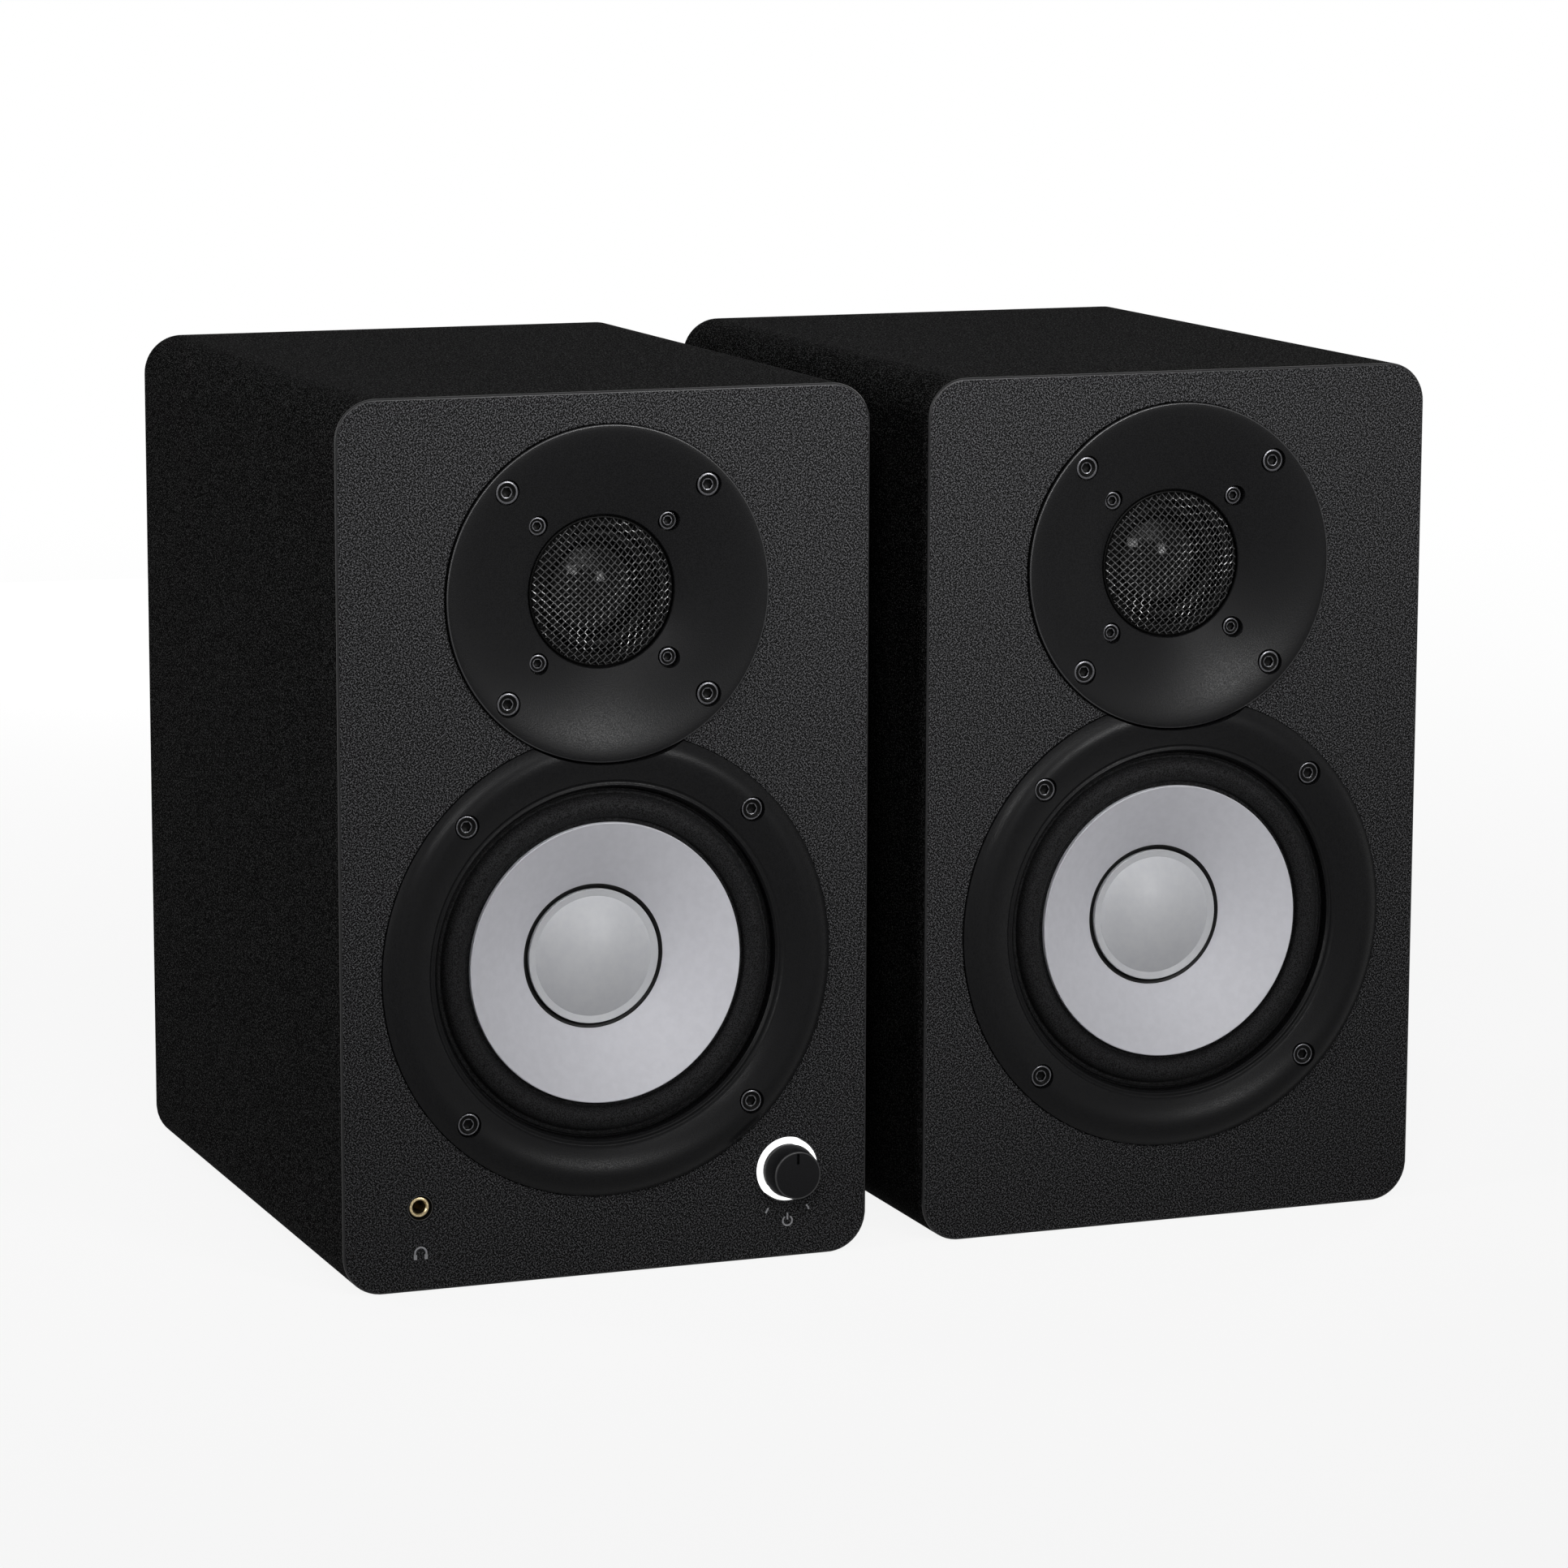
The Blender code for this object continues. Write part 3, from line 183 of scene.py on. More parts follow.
def add_node(
    tree: bpy.types.NodeTree,
    kind: str,
    inputs: dict[str | int, object] | None = None,
    **settings: object,
) -> bpy.types.Node:
    """Adds a node with its settings and links.

    Args:
        tree: The node tree it joins.
        kind: The node's type name.
        inputs: For each input's name or number, a value, or an output socket to link from.
        **settings: The node's own properties.

    Returns:
        The new node.
    """
    node = tree.nodes.new(kind)
    for name, value in settings.items():
        setattr(node, name, value)
    for name, value in (inputs or {}).items():
        if isinstance(value, Socket):
            tree.links.new(value, node.inputs[name])
        else:
            node.inputs[name].default_value = value
    return node


def bare_material(name: str) -> bpy.types.Material:
    """Makes a material with no nodes yet.

    Args:
        name: The material's name.

    Returns:
        The new material.
    """
    made = bpy.data.materials.new(name)
    made.use_nodes = True
    made.node_tree.nodes.clear()
    return made


def put_in_scene(name: str, data: bpy.types.ID) -> bpy.types.Object:
    """Makes an object that holds some data and puts it in the scene.

    Args:
        name: The object's name.
        data: Its mesh, light or camera.

    Returns:
        The new object.
    """
    thing = bpy.data.objects.new(name, data)
    bpy.context.scene.collection.objects.link(thing)
    return thing


def stand(
    thing: bpy.types.Object, place: tuple[float, float, float], right: Array, up: Array, back: Array
) -> None:
    """Puts an object at a place, with its own x, y and z along three directions."""
    turn = Matrix(np.stack((right, up, back), axis=1).tolist()).to_4x4()
    thing.matrix_world = Matrix.Translation(place) @ turn


@dataclass(frozen=True)
class Finish:
    """A surface whose small pattern drives its colour, its roughness and its relief.

    The pattern's height runs from 0 to 1. Between the two heights of band the colour goes from
    dark to light and the roughness from its first value to its second.
    """

    name: str
    dark: str
    light: str
    size_mm: float
    relief_mm: float
    roughness: tuple[float, float]
    metallic: float = 0.0
    specular: float = 0.5
    ior: float = 1.5
    pattern: Pattern = Pattern.GRAIN
    band: tuple[float, float] = (0.35, 0.65)
    detail: float = 2.0
    glow: float = 0.0

    def height(self, tree: bpy.types.NodeTree) -> Socket:
        """Adds the nodes of the pattern.

        Args:
            tree: The material's node tree.

        Returns:
            The socket that holds the pattern's height.
        """
        place = add_node(tree, "ShaderNodeTexCoord").outputs["Object"]
        scale = 1.0 / (self.size_mm * MM)
        if self.pattern in (Pattern.WOUND, Pattern.WOVEN):
            # A wave repeats every 2 pi / 20 of its scaled coordinate.
            threads = {"Vector": place, "Scale": scale * np.pi / 10.0}
            waves = [
                add_node(tree, "ShaderNodeTexWave", threads, bands_direction=way).outputs["Fac"]
                for way in ("Y" if self.pattern is Pattern.WOUND else "XZ")
            ]
            if self.pattern is Pattern.WOUND:
                return waves[0]
            crossed = dict(enumerate(waves))
            return add_node(tree, "ShaderNodeMath", crossed, operation="MULTIPLY").outputs[0]
        if self.pattern in LAID:
            laid = {"Vector": place, **LAID[self.pattern]}
            place = add_node(tree, "ShaderNodeMapping", laid).outputs["Vector"]
        noise = {"Vector": place, "Scale": scale, "Detail": self.detail, "Roughness": 0.6}
        return add_node(tree, "ShaderNodeTexNoise", noise).outputs[0]

    def material(self) -> bpy.types.Material:
        """Makes the finish's material, the first time it is asked for.

        Returns:
            The material.
        """
        if self.name in bpy.data.materials:
            return bpy.data.materials[self.name]
        made = bare_material(self.name)
        tree = made.node_tree
        height = self.height(tree)
        span = {"Value": height, "From Min": self.band[0], "From Max": self.band[1]}
        level = add_node(tree, "ShaderNodeMapRange", span).outputs["Result"]
        tint = {0: level, 6: linear(self.dark), 7: linear(self.light)}
        colour = add_node(tree, "ShaderNodeMix", tint, data_type="RGBA").outputs[2]
        worn = {"Value": level, "To Min": self.roughness[0], "To Max": self.roughness[1]}
        roughness = add_node(tree, "ShaderNodeMapRange", worn).outputs["Result"]
        relief = {"Height": height, "Distance": self.relief_mm * MM}
        bump = add_node(tree, "ShaderNodeBump", relief).outputs["Normal"]
        surface = {
            "Base Color": colour,
            "Roughness": roughness,
            "Normal": bump,
            "Metallic": self.metallic,
            "Specular IOR Level": self.specular,
            "IOR": self.ior,
        }
        if self.glow:
            surface["Emission Color"] = linear(self.light)
            surface["Emission Strength"] = self.glow
        shader = add_node(tree, "ShaderNodeBsdfPrincipled", surface)
        add_node(tree, "ShaderNodeOutputMaterial", {"Surface": shader.outputs["BSDF"]})
        return made


# A whole number of the paint's grains reaches from the origin to the fronts, which then cut the noise
# where it is finest.
PAINT_GRAINS = 255

# Sprayed paint over board: fine rounded specks on a near-black ground. The specks are partly the paint's
# own grain and partly painted glints: light specks in the colour where the pebbles catch the light. The
# noise is turned about the depth, so that its rows don't run level.
BAFFLE_PAINT_AND_GLINTS = Finish(
    "pebbled black paint on fibreboard with painted glints",
    "#0c0c0c",
    "#5c5c5e",
    size_mm=-FRONT_Y / PAINT_GRAINS,
    relief_mm=0.08,
    roughness=(0.75, 0.5),
    specular=0.02,
    pattern=Pattern.ASKEW,
    band=(0.43, 0.77),
    detail=0.0,
)
# Vinyl foil round the sides: a like grain, darker, with almost no shine. Its light flecks are painted
# glints, standing in for the shine that the foil catches. It is drawn longer along the depth, so that
# it shows on a side that is seen at a slant.
SIDE_WRAP_AND_GLINTS = Finish(
    "fine-grained black vinyl wrap with painted glints",
    "#040404",
    "#3b3b3b",
    size_mm=0.34,
    relief_mm=0.08,
    roughness=(0.9, 0.75),
    specular=0.004,
    pattern=Pattern.FOIL,
    band=(0.48, 0.79),
    detail=0.0,
)
# The rubbed edge between front and sides: a thin smooth line that catches the side light.
RUBBED_EDGE = Finish("rubbed black paint", "#0a0a0b", "#121214", 0.5, 0.01, (0.36, 0.3), specular=0.22)
# Plain board behind: dull and slightly fibrous.
REAR_BOARD = Finish(
    "black-stained fibreboard", "#0d0d0d", "#1b1b1b", 1.4, 0.06, (0.85, 0.75), specular=0.1
)
# Spark-eroded mould: an even matt black with soft, slightly cool highlights.
MOULDED = Finish(
    "fine matt moulded ABS", "#080809", "#151516", 0.32, 0.018, (0.38, 0.27), specular=0.082, detail=0.0
)
# Butyl rubber: leathery grain that scatters a broad highlight.
RUBBER = Finish(
    "grained butyl rubber", "#090909", "#242425", 0.3, 0.04, (0.7, 0.5), specular=0.06, detail=0.0
)
# Injected polypropylene with a pearl filler: pale, even and satin.
CONE = Finish(
    "pearl grey moulded polypropylene", "#c6c6cc", "#cacad0", 2.5, 0.003, (0.5, 0.45), specular=0.3, ior=1.49
)
CAP = Finish(
    "satin moulded polypropylene", "#babbbf", "#bebfc2", 2.5, 0.003, (0.42, 0.38), specular=0.3, ior=1.49
)
# Contact glue: a shiny black bead.
GLUE = Finish("black contact adhesive", "#060606", "#0b0b0b", 0.8, 0.04, (0.4, 0.3), specular=0.1)
# Enamelled copper: fine turns of wire with a warm shine.
COPPER = Finish(
    "wound enamelled copper", "#7c3c1c", "#c8763f", 0.35, 0.05, (0.4, 0.3), 1.0, pattern=Pattern.WOUND
)
# Resin-stiffened cotton: open straw-coloured weave.
SPIDER_CLOTH = Finish(
    "resin-stiffened woven cotton", "#8c6a38", "#c79f62", 0.9, 0.12, (0.9, 0.75), pattern=Pattern.WOVEN
)
# Zinc plate: bright grey with a faint mottle.
ZINC = Finish("zinc-plated pressed steel", "#8f9093", "#b3b4b8", 2.5, 0.01, (0.4, 0.28), 1.0)
# Sintered magnet: dull charcoal.
FERRITE = Finish("sintered ferrite", "#26272a", "#37383b", 0.6, 0.03, (0.75, 0.6))
# Black oxide on turned steel: bright metal on the rim of a screw. The dull black finish is painted
# shade in recesses: in a screw's cup and socket, in the tweeter's throat, on the grille's hoop and on
# the jack's collar. On the tweeter's motor it is the part's own black oxide.
BLACK_STEEL = Finish("black-oxidised turned steel", "#444446", "#5a5a5d", 0.5, 0.006, (0.32, 0.22), 1.0)
BLACK_OXIDE_AND_SHADE = Finish("dull black oxide and painted shade", "#040404", "#090909", 0.5, 0.006, (0.4, 0.34), specular=0.04)
# Dipped and baked wire: black, with a short bright line where each wire rises over the next.
WIRE = Finish("baked enamel on woven wire", "#1a1a1b", "#262627", 0.5, 0.004, (0.22, 0.18), specular=0.6)
# Coated cloth dome: dark and smooth enough for a sharp glint. Its threads are drawn coarser than
# silk's, to show at all.
DOME_SILK = Finish(
    "coated woven silk", "#030303", "#060606", 0.45, 0.001, (0.08, 0.05), specular=0.1, pattern=Pattern.WOVEN
)
# The cloth round the dome, doped dull black.
DOME_ROLL = Finish("doped cloth", "#030303", "#060606", 0.45, 0.004, (0.42, 0.36), specular=0.04)
# Powder coat: fine even texture on the metal panel.
PANEL_PAINT = Finish(
    "black powder coat on steel", "#0e0e0f", "#1d1d1f", 0.6, 0.04, (0.65, 0.5), specular=0.25
)
# Glass-filled nylon: the plain satin of sockets, blocks and levers.
NYLON = Finish("moulded black nylon", "#0d0d0e", "#17171a", 0.7, 0.02, (0.5, 0.4), specular=0.2)
RED_NYLON = Finish("moulded red nylon", "#8d1512", "#b21f1a", 0.9, 0.02, (0.45, 0.35), specular=0.4)
WHITE_NYLON = Finish("moulded white nylon", "#c9c9c6", "#dededb", 0.9, 0.02, (0.45, 0.35), specular=0.4)
# Solder resist over copper tracks: green with a slight shine.
CIRCUIT = Finish(
    "green solder resist", "#0c3a1f", "#17592f", 1.8, 0.02, (0.5, 0.35), pattern=Pattern.BRUSHED
)
# Varnished laminations of the transformer.
CORE = Finish(
    "varnished steel laminations", "#3a322a", "#5b5146", 0.7, 0.05, (0.6, 0.45), pattern=Pattern.WOUND
)
# Extruded fins: bare grey metal with fine draw lines.
ALUMINIUM = Finish(
    "extruded bare aluminium", "#a9abae", "#c9cacd", 0.6, 0.02, (0.45, 0.32), 1.0, pattern=Pattern.BRUSHED
)
# Nickel on brass: a bright, slightly warm grey.
NICKEL = Finish("bright nickel plate", "#a8a59e", "#c6c3bc", 1.5, 0.006, (0.28, 0.2), 1.0)
# Turned brass: warm yellow with fine tool marks.
BRASS = Finish("turned brass", "#96866a", "#c4b48e", 0.5, 0.01, (0.34, 0.24), 1.0)
# Soft-touch knob: almost black, with a faint grain.
KNOB = Finish("soft-touch moulded knob", "#101011", "#161618", 0.4, 0.01, (0.5, 0.42), specular=0.08)
# Edges left smooth by the mould, glossier than their faces and painted lighter: the lighter colour is a
# painted highlight, a thin light line round a face.
POLISHED_EDGE_HIGHLIGHT = Finish("polished moulded edge with painted highlight", "#1a1a1b", "#242426", 0.4, 0.004, (0.34, 0.28), specular=0.4)
# Frosted diffuser with lamps behind it.
DIFFUSER = Finish("lit frosted polycarbonate", "#eef2f7", "#ffffff", 1.0, 0.01, (0.4, 0.3), glow=1.2)
# Printed signs: thin grey ink.
INK = Finish("grey printed ink", "#98989c", "#aeaeb2", 0.5, 0.01, (0.6, 0.5), specular=0.1)


def grid(points: Array, wrap_rows: bool = False, wrap_columns: bool = True) -> Surface:
    """Joins a grid of points, or many grids of one size, with four-sided faces.

    Args:
        points: Points by row and column, with any further axes in front.
        wrap_rows: Whether the last row meets the first.
        wrap_columns: Whether the last column meets the first.

    Returns:
        The joined surface.
    """
    numbers = np.arange(points[..., 0].size).reshape(points.shape[:-1])
    if wrap_rows:
        numbers = np.concatenate((numbers, numbers[..., :1, :]), axis=-2)
    if wrap_columns:
        numbers = np.concatenate((numbers, numbers[..., :1]), axis=-1)
    corners = (
        numbers[..., :-1, :-1],
        numbers[..., :-1, 1:],
        numbers[..., 1:, 1:],
        numbers[..., 1:, :-1],
    )
    return Surface(points.reshape(-1, 3), np.stack(corners, axis=-1).reshape(-1, 4))


def joined(*shapes: Surface) -> Surface:
    """Puts several shapes in one list of points and faces.

    Args:
        *shapes: The shapes, which keep their places.

    Returns:
        The one shape.
    """
    starts = np.cumsum([0] + [len(shape.points) for shape in shapes[:-1]])
    points = np.concatenate([shape.points for shape in shapes])
    faces = np.concatenate([shape.faces + start for shape, start in zip(shapes, starts)])
    return Surface(points, faces)


def repeated(shape: Surface, places: Array) -> Surface:
    """Copies a shape to several places.

    Args:
        shape: The shape to copy.
        places: A row (x, depth, z) for each copy.

    Returns:
        All the copies as one shape.
    """
    steps = np.arange(len(places))[:, None, None] * len(shape.points)
    points = (shape.points + places[:, None, :]).reshape(-1, 3)
    return Surface(points, (shape.faces + steps).reshape(-1, 4))


def polar(reach: Array, depth: Array, angle: Array, wrap_rows: bool) -> Surface:
    """Lays rows of reach and depth round an axis: (reach cos a, depth, reach sin a).

    Args:
        reach: Distance from the axis, by row and angle, or by row alone in one column.
        depth: Depth in the same layout.
        angle: The angles, in radians.
        wrap_rows: Whether the last row meets the first.

    Returns:
        The surface, closed round the axis.
    """
    points = np.broadcast_arrays(reach * np.cos(angle), depth, reach * np.sin(angle))
    return grid(np.stack(points, axis=-1), wrap_rows)


def turned(profile: Sequence[tuple[float, float]] | Array, sides: int = 96) -> Surface:
    """Turns a (radius, depth) outline about the depth axis.

    Args:
        profile: The outline. It closes on itself unless it starts on the axis.
        sides: How many steps go round.

    Returns:
        The closed surface.
    """
    outline = np.asarray(profile, float)
    angle = np.arange(sides) * 2.0 * np.pi / sides
    return polar(outline[:, :1], outline[:, 1:], angle, outline[0, 0] > 0.0)


def rod(radius: float, near: float, far: float, sides: int = 48) -> Surface:
    """A round rod along the depth axis, used to cut holes."""
    return turned([(0.0, near), (radius, near), (radius, far), (0.0, far)], sides)


def rounded_outline(width: float, tall: float, corner: float, steps: int = 6) -> Array:
    """Goes round a rectangle: each corner's centre plus its radius times (cos a, sin a).

    Args:
        width: Size across.
        tall: Size upwards.
        corner: The corners' radius.
        steps: How many steps go round a corner.

    Returns:
        The outline's points (x, z).
    """
    turn = np.linspace(0.0, np.pi / 2.0, steps + 1) + np.arange(4)[:, None] * np.pi / 2.0
    sideways = np.array((1.0, -1.0, -1.0, 1.0))[:, None] * (width / 2.0 - corner)
    upwards = np.array((1.0, 1.0, -1.0, -1.0))[:, None] * (tall / 2.0 - corner)
    x = sideways + corner * np.cos(turn)
    z = upwards + corner * np.sin(turn)
    return np.stack((x.ravel(), z.ravel()), axis=1)


def lofted(sections: Sequence[tuple[Array, float]]) -> Surface:
    """Skins a row of sections and closes both ends with fans to their middles.

    Args:
        sections: An outline and its depth for each section.

    Returns:
        The closed surface.
    """
    outlines = np.stack([outline for outline, _ in sections])
    depths = np.array([depth for _, depth in sections])
    middle = np.broadcast_to(outlines.mean(axis=1, keepdims=True), outlines.shape)
    outlines = np.concatenate((middle[:1], outlines, middle[-1:]))
    depths = np.concatenate((depths[:1], depths, depths[-1:]))
    depth = np.broadcast_to(depths[:, None], outlines.shape[:2])
    return grid(np.stack((outlines[..., 0], depth, outlines[..., 1]), axis=-1))


def eased_plate(width: float, tall: float, corner: float, near: float, far: float, ease: float) -> Surface:
    """Makes a plate with rounded corners, and rounds its far edge through a quarter turn.

    Args:
        width: Size across.
        tall: Size upwards.
        corner: The corners' radius.
        near: Depth of its near face.
        far: Depth of its far face.
        ease: Radius of the far edge.

    Returns:
        The closed plate.
    """
    turn = np.linspace(0.0, np.pi / 2.0, 4)
    sections = [(rounded_outline(width, tall, corner), near)]
    for inset, rise in zip(ease * (1.0 - np.cos(turn)), ease * np.sin(turn)):
        outline = rounded_outline(width - 2.0 * inset, tall - 2.0 * inset, max(corner - inset, 0.05))
        sections.append((outline, far - ease + rise))
    return lofted(sections)


def stroke(path: Array, width: float, near: float, far: float) -> Surface:
    """Carries a flat bar's section along a path in the front's plane and closes its ends.

    Args:
        path: Points (x, z) along the middle of the stroke.
        width: Its width, laid half to each side along the path's normal.
        near: Depth of its front.
        far: Depth of its back.

    Returns:
        The closed stroke.
    """
    along = np.gradient(path, axis=0)
    along /= np.linalg.norm(along, axis=1, keepdims=True)
    beside = np.stack((-along[:, 1], along[:, 0]), axis=1) * width / 2.0
    left, right = path + beside, path - beside
    plan = np.stack((left, right, right, left), axis=1)
    depth = np.broadcast_to(np.array((near, near, far, far)), plan.shape[:2])
    points = np.stack((plan[..., 0], depth, plan[..., 1]), axis=-1)
    ends = np.broadcast_to(points.mean(axis=1, keepdims=True), points.shape)
    return grid(np.concatenate((ends[:1], points, ends[-1:])))


def arc_path(x: float, z: float, radius: float, start: float, end: float, steps: int = 40) -> Array:
    """Points (x, z) on an arc between two angles in degrees."""
    turn = np.radians(np.linspace(start, end, steps))
    return np.stack((x + radius * np.cos(turn), z + radius * np.sin(turn)), axis=1)


def ring_places(radius: float, degrees: Sequence[float], depth: float = 0.0) -> Array:
    """Places (x, depth, z) round the axis, at a radius and at angles in degrees."""
    turn = np.radians(np.array(degrees))
    return np.stack((radius * np.cos(turn), np.full(len(turn), depth), radius * np.sin(turn)), axis=1)


def diagonal_places(radius: float, depth: float = 0.0) -> Array:
    """The four places (x, depth, z) on the diagonals, at a radius from the axis."""
    return ring_places(radius, (45.0, 135.0, 225.0, 315.0), depth)


def make_piece(
    name: str, shape: Surface, finishes: Sequence[Finish], zones: Numbers | None = None
) -> bpy.types.Object:
    """Makes a mesh object in metres, with its poles merged and its faces turned outwards.

    Args:
        name: The object's name.
        shape: Its surface, already in the pair's frame.
        finishes: The finishes of its material slots.
        zones: Each face's slot, where there is more than one.

    Returns:
        The new object.
    """
    mesh = bpy.data.meshes.new(name)
    mesh.from_pydata((shape.points * MM).tolist(), [], shape.faces.tolist())
    for finish in finishes:
        mesh.materials.append(finish.material())
    if zones is not None:
        mesh.polygons.foreach_set("material_index", zones)
    solid = bmesh.new()
    solid.from_mesh(mesh)
    bmesh.ops.remove_doubles(solid, verts=solid.verts, dist=MERGE)
    bmesh.ops.recalc_face_normals(solid, faces=solid.faces)
    solid.to_mesh(mesh)
    solid.free()
    return put_in_scene(name, mesh)


def keep_modified(piece: bpy.types.Object) -> None:
    """Makes a piece's modifiers part of its mesh.

    Args:
        piece: The piece, which has none of them afterwards.
    """
    graph = bpy.context.evaluated_depsgraph_get()
    mesh = bpy.data.meshes.new_from_object(piece.evaluated_get(graph))
    piece.modifiers.clear()
    piece.data = mesh


def carve(piece: bpy.types.Object, shape: Surface) -> None:
    """Cuts a closed shape out of a piece.

    Args:
        piece: The piece to cut.
        shape: The shape to take away, in the pair's frame.
    """
    tool = make_piece("carving_tool", shape, [])
    cut = piece.modifiers.new("cut", "BOOLEAN")
    cut.operation = "DIFFERENCE"
    cut.solver = "EXACT"
    cut.object = tool
    keep_modified(piece)
    bpy.data.objects.remove(tool)


def eased_copy(node: str, ease: float, finish: Finish) -> bpy.types.Object:
    """Copies a solid's mesh, merges its triangles and rounds its edges.

    Args:
        node: The solid's name.
        ease: How far the rounding reaches from an edge.
        finish: The copy's finish.

    Returns:
        The new object.
    """
    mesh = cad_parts[node].data.copy()
    mesh.materials.clear()
    mesh.materials.append(finish.material())
    if "custom_normal" in mesh.attributes:
        mesh.attributes.remove(mesh.attributes["custom_normal"])
    solid = bmesh.new()
    solid.from_mesh(mesh)
    bmesh.ops.remove_doubles(solid, verts=solid.verts, dist=MERGE)
    bmesh.ops.dissolve_limit(solid, angle_limit=np.radians(1.0), verts=solid.verts, edges=solid.edges)
    solid.to_mesh(mesh)
    solid.free()
    piece = put_in_scene(f"{node}_eased", mesh)
    bevel = piece.modifiers.new("ease", "BEVEL")
    bevel.width = ease * MM
    bevel.segments = 2
    bevel.limit_method = "ANGLE"
    bevel.angle_limit = np.radians(30.0)
    keep_modified(piece)
    return piece


def shade(piece: bpy.types.Object, crease: float) -> None:
    """Smooths a piece except across edges sharper than crease, in degrees."""
    piece.data.shade_smooth()
    piece.data.set_sharp_from_angle(angle=np.radians(crease))


def dress(piece: bpy.types.Object, fixing: Fixing, crease: float = CREASE) -> None:
    """Shades a piece, sets it on its body, and hides the solids it stands for.

    Args:
        piece: The piece.
        fixing: Its body and the solids it stands for.
        crease: The angle of the edges that stay sharp, in degrees.
    """
    shade(piece, crease)
    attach(piece, fixing.body)
    settle(piece, fixing)


def settle(piece: bpy.types.Object, fixing: Fixing) -> None:
    """Hides the solids that a piece stands for, and reports the piece.

    Args:
        piece: The piece.
        fixing: Its body and the solids it stands for.
    """
    if fixing.stands_for:
        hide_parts(*fixing.stands_for)
    LOG.info("%s: %d faces on %s", piece.name, len(piece.data.polygons), fixing.body)


def add_screws(name: str, heads: Surface, zones: Numbers) -> None:
    """Makes a set of blackened screws on the cabinets, with each face's finish from zones."""
    screws = make_piece(name, heads, (BLACK_STEEL, BLACK_OXIDE_AND_SHADE), zones)
    dress(screws, Fixing(ROOT, "plated_steel"), 25.0)


def suspend(piece: bpy.types.Object, mover: str) -> None:
    """Shades a soft ring, bakes its place into its mesh and reads its points.

    Args:
        piece: The ring.
        mover: Not used.
    """
    shade(piece, CREASE)
    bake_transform(piece)
    points = np.empty(len(piece.data.vertices) * 3)
    piece.data.vertices.foreach_get("co", points)


@dataclass(frozen=True)
class CapScrew:
    """A socket-headed screw, with the top of its head at depth 0."""

    radius: float
    tall: float
    ease: float = 0.25
    rim: float = 0.45
    lip: float = 0.08
    socket: float = 1.45
    socket_deep: float = 1.6
    socket_rim: float = 0.12
    drill_point: float = 0.4
    cup_deep: float = 0.5
    sides: int = 48

    def zones(self, count: int) -> Numbers:
        """Each face's finish for so many screws: 1, painted shade, in the cup and the socket; 0, bright
        metal, outside and between.
        """
        rows = np.array((1, 1, 0, 1, 0, 0, 0, 0, 0, 0))
        return np.tile(np.repeat(rows, self.sides), count)

    def shape(self) -> Surface:
        """Turns the head about its axis: a rounded rim, a shallow cup and a hexagon at its foot.

        The hexagon's reach is its flats' distance / cos(a mod 60 - 30 degrees).

        Returns:
            The closed head.
        """
        angle = np.arange(self.sides) * 2.0 * np.pi / self.sides
        flats = self.socket * np.cos(np.pi / 6.0)
        hexagon = flats / np.cos(angle % (np.pi / 3.0) - np.pi / 6.0)
        full = np.ones(self.sides)
        rows = [
            (0.0 * full, self.socket_deep + self.drill_point),
            (hexagon, self.socket_deep),
            (hexagon, self.cup_deep),
            ((self.socket + self.socket_rim) * full, self.cup_deep),
            ((self.radius - self.rim) * full, self.lip),
            ((self.radius - self.rim + self.lip) * full, 0.0),
            ((self.radius - self.ease) * full, 0.0),
            ((self.radius - EASE_MIDDLE * self.ease) * full, EASE_MIDDLE * self.ease),
            (self.radius * full, self.ease),
            (self.radius * full, self.tall),
            (0.0 * full, self.tall),
        ]
        reach = np.stack([row for row, _ in rows])
        depth = np.array([[level] for _, level in rows])
        return polar(reach, depth, angle, False)


